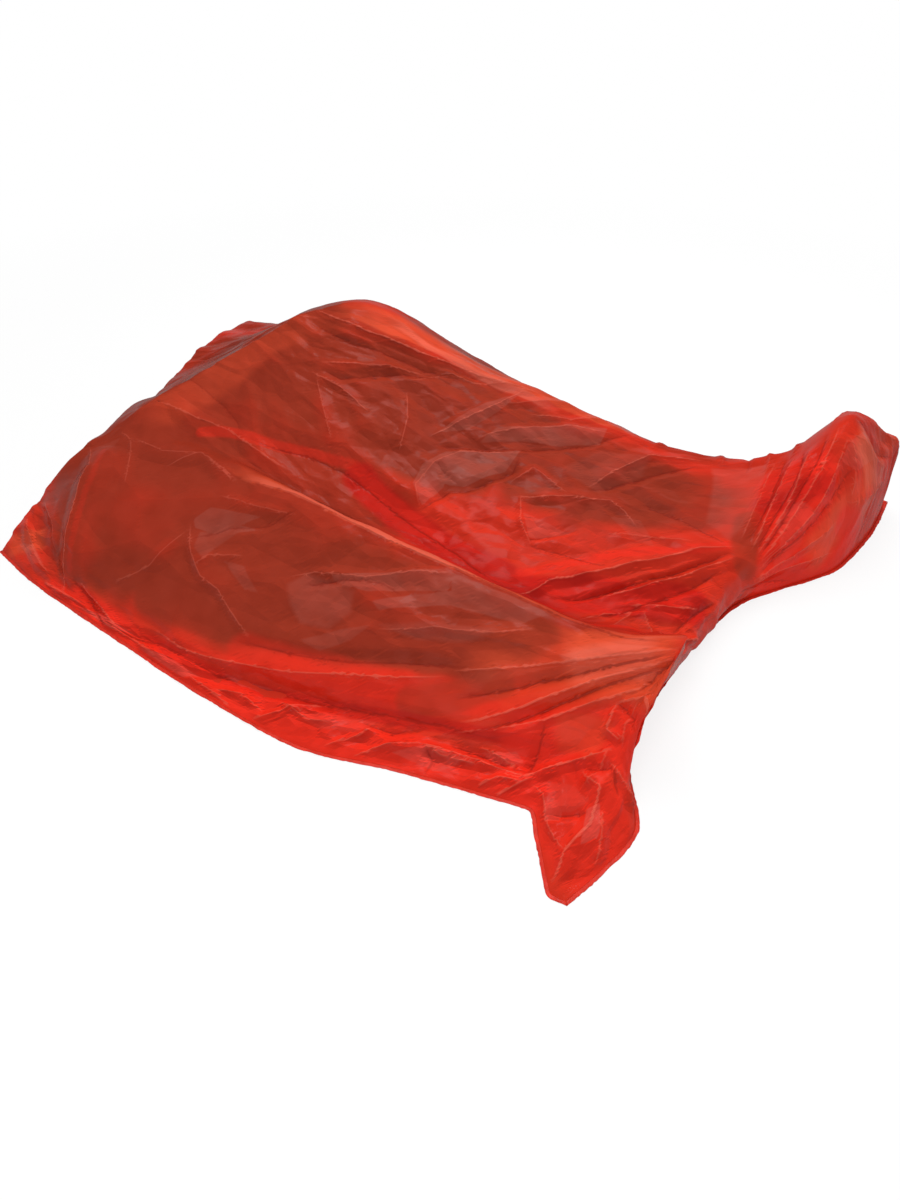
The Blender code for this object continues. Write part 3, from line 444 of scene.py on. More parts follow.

# Painted sheen on milky facets: how strong each painted sheen is, the width of its soft edge in millimetres,
# and its corners (station, line)
Sheen = namedtuple("Sheen", "amount soft corners")
PAINTED_SHEEN_ROWS = (
    (0.10, 3, ((3.1, 0.15), (3.45, 0.55), (3.9, 0.5), (3.75, 0.1))),
    (0.09, 3, ((2.1, 0.3), (2.4, 0.75), (2.95, 0.7), (2.7, 0.25))),
    (0.10, 3, ((5.9, 0.35), (6.2, 0.8), (6.7, 0.62), (6.45, 0.2))),
    (0.08, 3, ((6.8, 0.95), (7.25, 1.25), (7.45, 0.95), (7.1, 0.75))),
    (0.09, 3, ((4.05, 1), (4.5, 1.12), (4.7, 0.95), (4.25, 0.85))),
    (0.12, 2, ((9.35, 1.3), (9.6, 1.6), (10.4, 1.35), (10, 0.95))),
    (0.09, 3, ((8.2, 0.3), (8.6, 0.9), (9, 0.6), (8.7, 0.2))),
    (0.10, 3, ((0.25, 0.6), (0.55, 1.2), (0.95, 1.1), (0.8, 0.6))),
    (0.12, 3, (
        (4.57, 5.57), (4.55, 5.73), (4.67, 5.93), (5.05, 6.12), (5.32, 6.28), (5.3, 6), (5.17, 5.87),
        (5.03, 5.73), (4.85, 5.68), (4.77, 5.45),
    )),
    (0.08, 4, ((5.7, 5.72), (6.25, 5.7), (6.4, 5.7), (6.1, 5.6), (5.92, 5.55))),
    (0.05, 6, ((5.52, 6.03), (5.88, 6.13), (5.85, 5.92), (5.6, 5.88))),
    (0.10, 4, (
        (4.9, 6.17), (4.97, 6.38), (5.52, 6.7), (6.03, 6.97), (6.07, 6.68), (5.65, 6.5), (5.25, 6.37),
    )),
    (0.10, 3, ((4.5, 6.05), (4.65, 6.42), (4.97, 6.93), (4.9, 6.55), (4.75, 6.25))),
    (0.06, 4, ((3.53, 5.87), (3.82, 5.92), (3.8, 5.85), (3.6, 5.83))),
    (0.08, 3, (
        (2.98, 3.32), (3.07, 3.47), (3.42, 3.52), (3.65, 3.57), (3.5, 3.43), (3.75, 3.47), (3.33, 3.27),
        (3.07, 3.25),
    )),
    (0.06, 5, ((3.15, 3.23), (3.55, 3.38), (3.42, 3.15), (3.4, 2.97), (3.22, 3.05))),
    (0.06, 4, ((3.6, 3.07), (3.82, 3.1), (4.08, 2.85), (3.95, 2.82))),
    (0.07, 10, (
        (4.28, 3.1), (4.38, 3.27), (4.6, 3.28), (4.85, 3.25), (4.92, 3.05), (4.8, 2.73), (4.55, 2.67),
        (4.4, 2.85),
    )),
    (0.09, 3, (
        (4.57, 3.32), (5.12, 3.58), (5.55, 3.87), (5.62, 3.6), (5.22, 3.42), (4.97, 3.3), (4.75, 3.27),
    )),
    (0.10, 4, (
        (5.55, 3.83), (6.12, 3.88), (6.95, 3.92), (6.55, 3.57), (5.7, 3.48), (5.15, 3.17), (5.05, 3.23),
        (5.65, 3.62),
    )),
    (0.06, 4, ((4.6, 2.42), (4.9, 2.78), (5.15, 2.98), (5.03, 2.68), (4.8, 2.37))),
    (0.06, 10, ((5.22, 3.02), (5.7, 3.27), (6.35, 3.4), (6.07, 3.17), (5.6, 3))),
    (0.03, 2, ((0.22, 3.68), (0.4, 3.82), (0.62, 3.93), (0.72, 3.65), (0.88, 3.38))),
    (0.05, 12, ((5.8, 6.23), (6.12, 6.6), (6.85, 6.77), (6.88, 6.48), (6.45, 6.18))),
    (0.05, 4, ((6.8, 5.97), (7.3, 6.05), (7.8, 5.83), (7.35, 5.82))),
    (0.09, 9, ((7.8, 6.85), (8.35, 6.95), (8.75, 6.95), (8.95, 6.6), (9.2, 6.3), (9, 6.12), (8.4, 6.22))),
    (0.06, 6, ((9.85, 6.32), (10.12, 6.45), (10.57, 6.5), (10.85, 6.4), (11.02, 6.22))),
    (0.09, 2, ((10.2, 6.8), (10.27, 7), (10.67, 7.35), (10.53, 6.8), (10.3, 6.72))),
    (0.07, 4, ((7.22, 3.33), (8.12, 3.75), (8.57, 3.8), (8.18, 3.55), (7.4, 3.23))),
    (0.05, 3, ((8.02, 0.55), (8.62, 1.18), (9.25, 1.42), (9, 0.9), (8.45, 0.35))),
    (0.05, 5, ((4.88, 0.63), (5.1, 0.98), (5.6, 1.15), (5.47, 0.68), (5.12, 0.5))),
)
PAINTED_SHEENS = [Sheen(*row) for row in PAINTED_SHEEN_ROWS]

# How many widths of its soft edge a facet's painted sheen reaches
PAINTED_SHEEN_REACH = 4.0

# Painted highlight and painted shade lines along the creases: name of the colour, how far it covers, below 0
# for the painted shade of sunken creases, and the distances in millimetres at which the line starts to fade
# and is gone. A crease is a ridge over a wider distance. Both die away between two distances from the nearest
# crease, so that none shows halfway between two creases.
CREASE_LINES = (("glint", 0.38, 0.4, 2.2), ("shade", -0.50, 0.8, 3.4))
CREASE_RIDGE = 6.0
CREASE_GONE = (4.5, 7.5)

# Painted light and shade: a triangle that is turned towards the bright side is painted lighter, and one turned
# away darker. Beyond a full turn little is added, and calm film hides a share of it.
BRIGHT_SIDE = (-0.35, 1.0, 0.2)
FULL_TURN = 0.3
CALM_HIDES = 0.6
FACET_LIGHT = 0.36

# Finish of the film: the share of light that passes through, and its patches, with their lowest and highest
# lightness and roughness
FILM_TRANSLUCENT = 0.22
PATCHES_IN_METRE = 22.0
FILM_LIGHTNESS = (0.94, 1.06)
FILM_ROUGHNESS = (0.16, 0.22)

# Bumps of the film: the pitch of the draw lines, their height and that of the creases, and two kinds of fine
# facets: their width and length in millimetres, a shift of the pattern and their height, the share of it in
# calm film, and the waves that bend them
DRAW_LINE_MM = 5
DRAW_LINE_BUMP = 0.00004
CREASE_BUMP = 0.0012
FINE_FACETS = ((18, 30, 3.1, 0.0005), (8, 12, 11.7, 0.0002))
CALM_FACETS = 0.12
WAVES_IN_METRE = 9.0
WAVE_REACH = 0.06

# Lower film: points along each side, height of its middle layer, share of it over which the ripples rise, and
# length, width and seed of its swells and of its creases
LOWER_FILM_STEPS = 180
LOWER_FILM_MIDDLE = 0.00005
LOWER_FILM_FADE = 0.12
LOWER_FILM_RIPPLES = ((0.16, 0.05, 41), (0.07, 0.09, 42))

# Welds: points along each, height of the middle layer, share and length of the waves in the outer edge, and
# how far and in what waves it lifts
WELD_STEPS = 420
WELD_MIDDLE = 0.0003
WELD_RAGGED = ((0.10, 0.006), (0.06, 0.02))
WELD_LIFT = 0.0022
WELD_LIFT_WAVE = 0.05

# Camera of the photograph: 1.3 m above the ground, outside the near side's foot end
CAMERA_PLACE = (0.7918, -1.4851, 1.3)
CAMERA_DOWN_DEGREES = 40.8
CAMERA_ROUND_DEGREES = 27.0
CAMERA_LENS_MM = 26.1
CAMERA_SENSOR_MM = 36.0

# Studio: the floor, the light that fills the room, that which shiny surfaces see in its floor, walls and
# ceiling, and each lamp's name, place, size and power, and whether shiny surfaces show it
FLOOR_REACH = 30
FLOOR_BELOW = 0.0008
FILL_LIGHT = 0.70
FLOOR_LIGHT = 0.3
WALL_LIGHT = 0.25
CEILING_LIGHT = 0.04
LIGHT_TARGET = Vector((0.0, 0.0, 0.1))
SOFTBOXES = (
    ("overhead_softbox", (0.1, 1.3, 2.5), 1.8, 44, False),
    ("near_softbox", (0.5, -2.1, 1.9), 1.4, 22, False),
    ("window", (-0.5, 1.1, 2.9), 0.7, 2.2, True),
)


def linear_colour(code):
    """Linear red, green and blue of an sRGB hex colour."""
    parts = [int(code[place : place + 2], 16) / 255 for place in (1, 3, 5)]
    return tuple(part / 12.92 if part <= 0.04045 else ((part + 0.055) / 1.055) ** 2.4 for part in parts)


def colour_property(name, description, code):
    """Colour that a user may change, with an sRGB hex colour as its default."""
    default = linear_colour(code)
    return FloatVectorProperty(name=name, description=description, subtype="COLOR", default=default)


class BivvySizes(bpy.types.PropertyGroup):
    rows: IntProperty(
        name="Rows", description="Rows of the film's mesh along the bag", default=330, min=40,
    )
    columns: IntProperty(
        name="Columns", description="Columns of the film's mesh across the bag", default=302, min=40,
    )
    seam: FloatProperty(
        name="Seam", description="Thickness of the welded seam", default=0.0004, min=0.0001, unit="LENGTH",
    )
    fold_share: FloatProperty(
        name="Folds", description="Share of the drawn height that every fold has", default=1.0, min=0.0,
    )
    facet_share: FloatProperty(
        name="Facets", description="Share of its set height that every facet has", default=1.0, min=0.0,
    )
    slack: FloatProperty(
        name="Slack", description="Height of the film's long soft swells", default=0.001, min=0.0,
        unit="LENGTH",
    )
    ripple: FloatProperty(
        name="Lower ripple", description="Height of the ripples in the lower film", default=0.007, min=0.0,
        unit="LENGTH",
    )
    weld: FloatProperty(
        name="Weld", description="Width of the welded seam", default=0.008, min=0.002, unit="LENGTH",
    )


class BivvyColours(bpy.types.PropertyGroup):
    # Brown stands for what fills the bag seen through the film and is partly painted shade; deep and shade are
    # painted shade; bright and orange are painted light glowing through the film; milky is a painted sheen; glint
    # is a painted highlight.
    film: colour_property("Film", "Red film that light passes through", "#d2301c")
    brown: colour_property("Brown", "Film that lies close over what fills the bag", "#98321f")
    deep: colour_property("Deep red", "Film in the valley and in deep creases", "#c01c14")
    bright: colour_property("Bright red", "Film that lies free, with light behind it", "#e62a1a")
    orange: colour_property("Orange", "Taut film that stands clear, with light behind it", "#e05030")
    milky: colour_property("Milky", "Haze of film that is creased to and fro", "#c48c80")
    glint: colour_property("Glint", "Light along a raised crease", "#e8705a")
    shade: colour_property("Shade", "Depth of a sunken crease", "#7e1a10")
    weld: colour_property("Weld", "Melted seam", "#cc2e1e")
    floor: colour_property("Floor", "Studio floor", "#f4f4f4")


def smooth_step(share):
    """Cubic from 0 to 1 that starts and ends level."""
    return share * share * (3 - 2 * share)


def monotone_slopes(points):
    """Slope at each evenly spaced point: the harmonic mean of its two chords, or none at a peak or a dip."""
    chords = np.diff(points, axis=0)
    before, after = chords[:-1], chords[1:]
    same_way = before * after > 0
    total = np.where(same_way, before + after, 1.0)
    slopes = np.zeros_like(points)
    slopes[1:-1] = np.where(same_way, 2 * before * after / total, 0.0)
    slopes[0] = chords[0]
    slopes[-1] = chords[-1]
    return slopes


def smooth_curve(points, at):
    """Cubic through evenly spaced points, read at places counted in points. It never swings past a point."""
    slopes = monotone_slopes(points)
    index = np.clip(at.astype(int), 0, len(points) - 2)
    share = (at - index).reshape((-1,) + (1,) * (points.ndim - 1))
    leave = share * (1 - share) ** 2
    arrive = share * share * (share - 1)
    start, end = points[index], points[index + 1]
    return start + smooth_step(share) * (end - start) + leave * slopes[index] + arrive * slopes[index + 1]


def height_over_taut_fold(plan):
    """Height of a tent over the taut fold: the fold's own height, less FOLD_FALL for each metre beside it."""
    height = np.zeros(plan.shape[:-1])
    fold = np.array(TAUT_FOLD)
    for start, end in zip(fold[:-1], fold[1:]):
        along = end[:2] - start[:2]
        share = np.clip((plan - start[:2]) @ along / (along @ along), 0, 1)
        nearest = start + share[..., None] * (end - start)
        beside = np.linalg.norm(plan - nearest[..., :2], axis=-1)
        height = np.maximum(height, nearest[..., 2] - FOLD_FALL * beside)
    return height


def fitted_to_frame(drawn):
    """Drawn points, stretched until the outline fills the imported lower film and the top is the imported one."""
    low, high = (np.array(corner)[:2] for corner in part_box("lower_film"))
    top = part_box("upper_film")[1][2]
    plan_low = LINES[..., :2].min(axis=(0, 1))
    plan_high = LINES[..., :2].max(axis=(0, 1))
    fitted = drawn.copy()
    stretch = (high - low) / (plan_high - plan_low)
    fitted[..., :2] = low + (drawn[..., :2] - plan_low) * stretch
    fitted[..., 2] *= top / DRAWN_TOP
    return fitted


def film_form(stations, lines):
    """Form of the upper film at every station and line given, before it is creased.

    The lines are joined by smooth curves along the bag and those by smooth curves across it. The taut fold is
    laid over the result as a soft maximum of the two heights, which dies away beyond the far mound's crest.
    """
    rows = smooth_curve(LINES.swapaxes(0, 1), np.asarray(stations, float))
    surface = smooth_curve(rows.swapaxes(0, 1), np.asarray(lines, float)).swapaxes(0, 1)
    film, fold = surface[..., 2], height_over_taut_fold(surface[..., :2])
    over = np.logaddexp(film / FOLD_ROUNDING, fold / FOLD_ROUNDING) * FOLD_ROUNDING - film
    beyond = np.clip(np.asarray(lines) - FAR_CREST_LINE, 0, 1)
    inside = np.clip(film / FOLD_ROUNDING, 0, 1) * (1 - smooth_step(beyond))
    surface[..., 2] = film + over * inside
    surface = fitted_to_frame(surface)
    surface[..., 2] += CLEAR_OF_LOWER_FILM
    return surface


def even_places(count, last, form_at):
    """Places from 0 to last that are evenly spaced on the form on average, and the length up to each."""
    fine = np.linspace(0, last, FINE_PLACES)
    steps = np.linalg.norm(np.diff(form_at(fine), axis=0), axis=-1).mean(axis=1)
    length = np.concatenate(([0], np.cumsum(steps)))
    reached = np.linspace(0, length[-1], count)
    return np.interp(reached, length, fine), reached


def surface_normals(points):
    """Unit normals of a grid of points: the cross product of its two directions."""
    normal = np.cross(np.gradient(points, axis=0), np.gradient(points, axis=1))
    return normal / np.maximum(np.linalg.norm(normal, axis=-1, keepdims=True), 1e-12)


def form_points(places):
    """Points of the form at single places (station, line): the diagonal of the grid that they span."""
    places = np.array(places)
    grid = film_form(places[:, 0], places[:, 1])
    every = np.arange(len(places))
    return grid[every, every]


def line_on_form(places):
    """Points of the form along straight stretches between places (station, line)."""
    places = np.array(places)
    knots = np.arange(len(places))
    at = np.linspace(0, knots[-1], LINE_STEPS * knots[-1] + 1)
    return form_points(np.stack([np.interp(at, knots, places[:, axis]) for axis in (0, 1)], axis=1))


def near_line(points, line, reach):
    """Which points lie in the box round a line, widened by a reach."""
    return np.all((points > line.min(axis=0) - reach) & (points < line.max(axis=0) + reach), axis=-1)


def nearest_on_line(points, line):
    """Offset of each point from the nearest point of a line, its step there and the share travelled."""
    steps = np.diff(line, axis=0)
    lengths = np.linalg.norm(steps, axis=1)
    travelled = np.concatenate(([0], np.cumsum(lengths))) / lengths.sum()
    closest = np.full(len(points), np.inf)
    offset = np.zeros((len(points), 3))
    heading = np.zeros((len(points), 3))
    share = np.zeros(len(points))
    for index, step in enumerate(steps):
        along = np.clip((points - line[index]) @ step / (step @ step), 0, 1)
        away = points - line[index] - along[:, None] * step
        distance = np.linalg.norm(away, axis=1)
        closer = distance < closest
        closest[closer] = distance[closer]
        offset[closer] = away[closer]
        heading[closer] = step
        share[closer] = (travelled[index] + along * (travelled[index + 1] - travelled[index]))[closer]
    return offset, heading, share


def left_of_line(offset, heading, normals):
    """Which offsets from a line point to its left, seen along it from above the film."""
    return np.sum(offset * np.cross(normals, heading), axis=1) > 0


def lay_fold(fold, points, normals, height, marks, crest, number, snap):
    """Adds a fold's height, and slides the vertices beside its crest onto it so that the crest stays sharp.

    The fold is a roof with a straight slope on either side, which falls away towards its two ends. Distances
    are measured in space from the fold's line on the form. Each point is marked with its distance from the
    nearest crease, in millimetres and positive on the left, the same without its sign, and how light that
    crease is painted, as a painted highlight or a painted shade.
    """
    line = line_on_form(fold.points)
    near = near_line(points, line, max(fold.left, fold.right) * MILLIMETRE)
    offset, heading, share = nearest_on_line(points[near], line)
    distance = np.linalg.norm(offset, axis=1)
    leftward = left_of_line(offset, heading, normals[near])
    unclaimed = (crest[near] < 0) | (crest[near] >= FIRST_FACET_EDGE)
    free = (distance < snap) & unclaimed & (share > 0) & (share < 1)
    moved, marked = points[near], crest[near]
    moved[free] -= offset[free]
    marked[free] = number
    points[near], crest[near] = moved, marked
    distance[free] = 0
    width = np.where(leftward, fold.left, fold.right) * MILLIMETRE
    fall = np.sqrt((distance / width) ** 2 + CREST_ROUNDING**2) - CREST_ROUNDING
    ends = np.clip(np.minimum(share, 1 - share) / FOLD_END, 0, 1)
    height[near] += fold.height * MILLIMETRE * np.clip(1 - fall, 0, None) * ends
    away = distance / MILLIMETRE
    light = np.clip(fold.height / LIGHT_FOLD, -1, 1) if fold.crease is None else fold.crease
    mark = np.stack((np.where(leftward, away, -away), away, light * np.minimum(2 * ends, 1)), axis=1)
    nearer = (away < marks[near][:, 1]) & (ends > MARKED_END)
    marks[near] = np.where(nearer[:, None], mark, marks[near])


def smooth_noise(x, y, seed):
    """Noise from -1 to 1 on a lattice of random values one unit apart, joined by a smooth step."""
    values = np.random.default_rng(seed).uniform(-1, 1, (LATTICE, LATTICE))
    column, row = np.floor(x).astype(int), np.floor(y).astype(int)
    right, up = smooth_step(x - column), smooth_step(y - row)
    column, next_column = column % LATTICE, (column + 1) % LATTICE
    row, next_row = row % LATTICE, (row + 1) % LATTICE
    low = values[column, row] * (1 - right) + values[next_column, row] * right
    high = values[column, next_row] * (1 - right) + values[next_column, next_row] * right
    return low * (1 - up) + high * up


def layered_noise(x, y, layers):
    """Sum of layers of noise, each with its amount, the length and width of its cells and its seed."""
    return sum(amount * smooth_noise(x / length, y / width, seed) for amount, length, width, seed in layers)


def nearest_two(x, y, seed):
    """Offsets to the nearest two of points scattered one to each unit cell, and the two points' cells."""
    scatter = np.random.default_rng(seed).uniform(0, 1, (LATTICE, LATTICE, 2))
    column, row = np.floor(x).astype(int), np.floor(y).astype(int)
    first, second = np.full(x.shape + (2,), FAR_FROM_CELL), np.full(x.shape + (2,), FAR_FROM_CELL)
    first_cell, second_cell = np.zeros(x.shape, int), np.zeros(x.shape, int)
    for right in (-1, 0, 1):
        for up in (-1, 0, 1):
            spot = scatter[(column + right) % LATTICE, (row + up) % LATTICE]
            offset = np.stack((column + right + spot[..., 0] - x, row + up + spot[..., 1] - y), axis=-1)
            cell = (column + right) % LATTICE * LATTICE + (row + up) % LATTICE
            square = np.sum(offset**2, axis=-1)
            nearer = square < np.sum(first**2, axis=-1)
            next_nearer = ~nearer & (square < np.sum(second**2, axis=-1))
            second[nearer], second_cell[nearer] = first[nearer], first_cell[nearer]
            first[nearer], first_cell[nearer] = offset[nearer], cell[nearer]
            second[next_nearer], second_cell[next_nearer] = offset[next_nearer], cell[next_nearer]
    return first, second, first_cell, second_cell


def facet_height(x, y, kind):
    """Flat facets between sharp creases: the difference of the squared distances to two sets of points.

    The points are scattered. The squares of x and y cancel in it, so that it is exactly linear between the
    creases.
    """
    squares = []
    for number in (0, 1):
        offset = nearest_two(x / kind.length, y / kind.width, kind.seed + number)[0]
        squares.append(np.sum(offset**2, axis=-1))
    return squares[0] - squares[1]


def snap_to_facets(x, y, crest):
    """Slides the places beside the facets' creases onto them, and marks which crease each then lies on.

    A crease is where two scattered points are equally near, so that its nearest place lies along the line
    from one of them to the other.
    """
    reach_x, reach_y = SNAP_SHARE * (x[1, 0] - x[0, 0]), SNAP_SHARE * (y[0, 1] - y[0, 0])
    for order, kind in enumerate(FACETS):
        size = np.array((kind.length, kind.width))
        for number in (0, 1):
            first, second, first_cell, second_cell = nearest_two(x / size[0], y / size[1], kind.seed + number)
            across = (second - first) / size
            gap = (np.sum(second**2, axis=-1) - np.sum(first**2, axis=-1)) / 2
            move = across * (gap / np.sum(across**2, axis=-1))[..., None]
            free = (crest < 0) & (np.abs(move[..., 0]) < reach_x) & (np.abs(move[..., 1]) < reach_y)
            x += np.where(free, move[..., 0], 0)
            y += np.where(free, move[..., 1], 0)
            pair = (first_cell + second_cell) * 2 * len(FACETS) + 2 * order + number
            crest[free] = FIRST_FACET_EDGE + pair[free]


def slide_to_facets(points, x, y, crest, along, across):
    """Slides the film's inner points onto the facets' creases. Gives their new places on the flat sheet."""
    slid_x, slid_y = x.copy(), y.copy()
    snap_to_facets(slid_x, slid_y, crest)
    rim = np.ones(x.shape, bool)
    rim[1:-1, 1:-1] = False
    crest[rim] = -1
    slid_x[rim], slid_y[rim] = x[rim], y[rim]
    step_x, step_y = (slid_x - x)[..., None], (slid_y - y)[..., None]
    points += np.gradient(points, along, axis=0) * step_x + np.gradient(points, across, axis=1) * step_y
    return slid_x, slid_y


def area_share(areas, stations, lines):
    """How far each place lies in soft-edged areas: the largest of their bell-shaped shares."""
    share = np.zeros(np.broadcast(stations, lines).shape)
    for amount, station, line, half_stations, half_lines in areas:
        away = ((stations - station) / half_stations) ** 2 + ((lines - line) / half_lines) ** 2
        share = np.maximum(share, amount * np.exp(-(away**1.5) * 0.7))
    return share


def turned_over(points, normals, area):
    """Corners of cells that the sliding of their corners has turned over or all but closed."""
    a, b, c, d = points[:-1, :-1], points[1:, :-1], points[1:, 1:], points[:-1, 1:]
    upright = normals[:-1, :-1]
    smallest = np.full(a.shape[:2], np.inf)
    for before, corner, after in ((d, a, b), (a, b, c), (b, c, d), (c, d, a)):
        turn = np.cross(after - corner, before - corner)
        smallest = np.minimum(smallest, np.sum(turn * upright, axis=-1))
    small = smallest < SMALLEST_CELL * area
    corners = np.zeros(points.shape[:2], bool)
    for rows in (slice(None, -1), slice(1, None)):
        for columns in (slice(None, -1), slice(1, None)):
            corners[rows, columns] |= small
    return corners


def creased_film(sizes, colours):
    """The creased upper film: its points, normals before creasing, crests, attributes and lengths when flat.

    Each point of the form moves along its normal by the sum of the folds, the facets and the soft swells. The
    welded edges stay where they are, and nothing sinks below the lower film.
    """
    probe = np.linspace(0, 1, PROBES)
    stations, along = even_places(sizes.rows, LAST_STATION, lambda at: film_form(at, probe * LAST_LINE))
    lines, across = even_places(
        sizes.columns, LAST_LINE, lambda at: film_form(probe * LAST_STATION, at).swapaxes(0, 1)
    )
    points = film_form(stations, lines)
    unmoved = points.copy()
    normals = surface_normals(points)
    crest = np.full(points.shape[:2], -1)
    x, y = slide_to_facets(points, *np.meshgrid(along, across, indexing="ij"), crest, along, across)
    height = np.zeros(x.shape)
    marks = np.full(x.shape + (3,), FAR_FROM_CREASE)
    marks[..., 2] = 0
    snap = SNAP_SHARE * min(along[1], across[1])
    for number in sorted(range(len(FOLDS)), key=lambda number: -abs(FOLDS[number].height)):
        lay_fold(FOLDS[number], points, normals, height, marks, crest, number, snap)
    height *= sizes.fold_share
    turned = turned_over(points, normals, along[1] * across[1])
    points[turned], crest[turned] = unmoved[turned], -1
    crumpled = area_share(CRUMPLED, stations[:, None], lines[None, :])
    for kind in FACETS:
        depth = kind.calm + (kind.crumpled - kind.calm) * crumpled
        height += sizes.facet_share * depth * facet_height(x, y, kind)
    height += sizes.slack * layered_noise(x, y, SWELLS)
    edge = np.minimum(np.minimum(y, across[-1] - y), along[-1] - x)
    height *= np.clip(edge / EDGE_CALM, 0, 1)
    # Painted shade and painted light of the strokes in the film's colour, and the painted sheen of milky facets
    tint = film_tints(colours, points, normals, height, x, y)
    tint[..., 3] = crumpled
    painted_sheen = painted_sheen_shares(points, x, y, stations, lines)
    creased = points + normals * height[..., None]
    creased[..., 2] = np.maximum(creased[..., 2], CLEAR_OF_LOWER_FILM)
    return creased, normals, crest, {"film_tint": tint, "crease": marks, "painted_sheen": painted_sheen}, along, across


def film_tints(colours, points, normals, height, x, y):
    """Colour at each point of the film: its red, with the strokes of painted shade and painted light laid over it
    in turn.

    Brown, partly painted shade, fades where the film stands off what fills the bag. The painted light of orange
    and glint dies away towards their ends.
    """
    tint = np.ones(x.shape + (4,))
    tint[..., :3] = colours.film
    wander = 1 + layered_noise(x, y, STROKE_WANDER)
    stand_off = np.clip(1 - height / STAND_OFF, LEAST_BROWN, MOST_BROWN)
    for stroke in STROKES:
        line = line_on_form(stroke.points)
        near = near_line(points, line, STROKE_REACH * max(stroke.left, stroke.right) * MILLIMETRE)
        offset, heading, along = nearest_on_line(points[near], line)
        leftward = left_of_line(offset, heading, normals[near])
        width = np.where(leftward, stroke.left, stroke.right) * MILLIMETRE
        fade = np.clip(2.5 - 2 * np.linalg.norm(offset, axis=1) / width * wander[near], 0, 1)
        share = stroke.amount * smooth_step(fade)
        if stroke.colour == "brown":
            share = np.clip(share * stand_off[near], 0, 1)
        if stroke.colour in ("orange", "glint"):
            share = share * np.clip(np.minimum(along, 1 - along) / STROKE_END, 0, 1)
        tint[near, :3] += share[:, None] * (np.array(getattr(colours, stroke.colour)) - tint[near, :3])
    return tint


def inside_outline(stations, lines, corners):
    """Which places lie inside a closed outline: those with an odd number of its sides beyond them."""
    inside = np.zeros(stations.shape, bool)
    for (station, line), (next_station, next_line) in zip(corners, corners[1:] + corners[:1]):
        crosses = (line > lines) != (next_line > lines)
        slope = (next_station - station) / (next_line - line or 1)
        inside ^= crosses & (stations < station + (lines - line) * slope)
    return inside


def painted_sheen_shares(points, x, y, stations, lines):
    """Depth of each point in the nearest facet with painted sheen, in widths of its soft edge, and how strong
    that painted sheen is.
    """
    painted_sheen = np.zeros(x.shape + (3,))
    painted_sheen[..., 0] = -PAINTED_SHEEN_REACH
    stations, lines = np.meshgrid(stations, lines, indexing="ij")
    uneven = 1 + layered_noise(x, y, PAINTED_SHEEN_UNEVEN)
    for kind in PAINTED_SHEENS:
        outline = line_on_form(kind.corners + kind.corners[:1])
        near = near_line(points, outline, PAINTED_SHEEN_REACH * kind.soft * MILLIMETRE)
        offset, _, _ = nearest_on_line(points[near], outline)
        inwards = np.where(inside_outline(stations[near], lines[near], kind.corners), 1, -1)
        depth = inwards * np.linalg.norm(offset, axis=1) / (kind.soft * MILLIMETRE)
        depth = np.clip(depth, -PAINTED_SHEEN_REACH, PAINTED_SHEEN_REACH)
        mark = np.stack((depth, kind.amount * uneven[near], depth * 0), axis=1)
        painted_sheen[near] = np.where((depth > painted_sheen[near][:, 0])[:, None], mark, painted_sheen[near])
    return painted_sheen


def grid_object(name, points, material, flip=False, crest=None):
    """Object with a smooth shaded mesh on a grid of points.

    Its faces are quads or, where crest gives the fold that each point lies on, triangles that are cut along
    the folds. The edges on a fold's crest are then sharp.
    """
    index = np.arange(points.shape[0] * points.shape[1]).reshape(points.shape[:2])
    a, b, c, d = (part.ravel() for part in (index[:-1, :-1], index[1:, :-1], index[1:, 1:], index[:-1, 1:]))
    if crest is None:
        faces = np.stack((a, d, c, b) if flip else (a, b, c, d), axis=-1)
    else:
        crest = crest.ravel()
        other = (crest[b] == crest[d]) & (crest[b] >= 0)
        first = np.where(other[:, None], np.stack((a, b, d), axis=-1), np.stack((a, b, c), axis=-1))
        second = np.where(other[:, None], np.stack((b, c, d), axis=-1), np.stack((a, c, d), axis=-1))
        faces = np.concatenate((first, second))
    mesh = bpy.data.meshes.new(name)
    mesh.from_pydata(points.reshape(-1, 3), [], faces.tolist())
    mesh.shade_smooth()
    if crest is not None:
        ends = np.empty(2 * len(mesh.edges), dtype=np.int32)
        mesh.edges.foreach_get("vertices", ends)
        start, end = crest[ends[0::2]], crest[ends[1::2]]
        sharp = mesh.attributes.new("sharp_edge", "BOOLEAN", "EDGE")
        sharp.data.foreach_set("value", (start == end) & (start >= 0))
    mesh.materials.append(material)
    new = bpy.data.objects.new(name, mesh)
    bpy.context.scene.collection.objects.link(new)
    return new


def loop_corners(mesh):
    """Vertex at each corner of a mesh's faces."""
    corners = np.empty(len(mesh.loops), dtype=np.int32)
    mesh.loops.foreach_get("vertex_index", corners)
    return corners


def painted_facet_lights(mesh, normals, crumpled):
    """How far each triangle is turned from the smooth form towards the brighter side, from -1 to 1: its
    painted light and shade.

    Calm film hides part of it.
    """
    corners = loop_corners(mesh).reshape(-1, 3)
    turned = np.empty(3 * len(mesh.polygons))
    mesh.polygons.foreach_get("normal", turned)
    smooth = normals.reshape(-1, 3)[corners].mean(axis=1)
    calm = 1 - crumpled.ravel()[corners].mean(axis=1)
    turn = (turned.reshape(-1, 3) - smooth) @ np.array(BRIGHT_SIDE)
    return np.tanh(turn / FULL_TURN) * (1 - CALM_HIDES * calm)


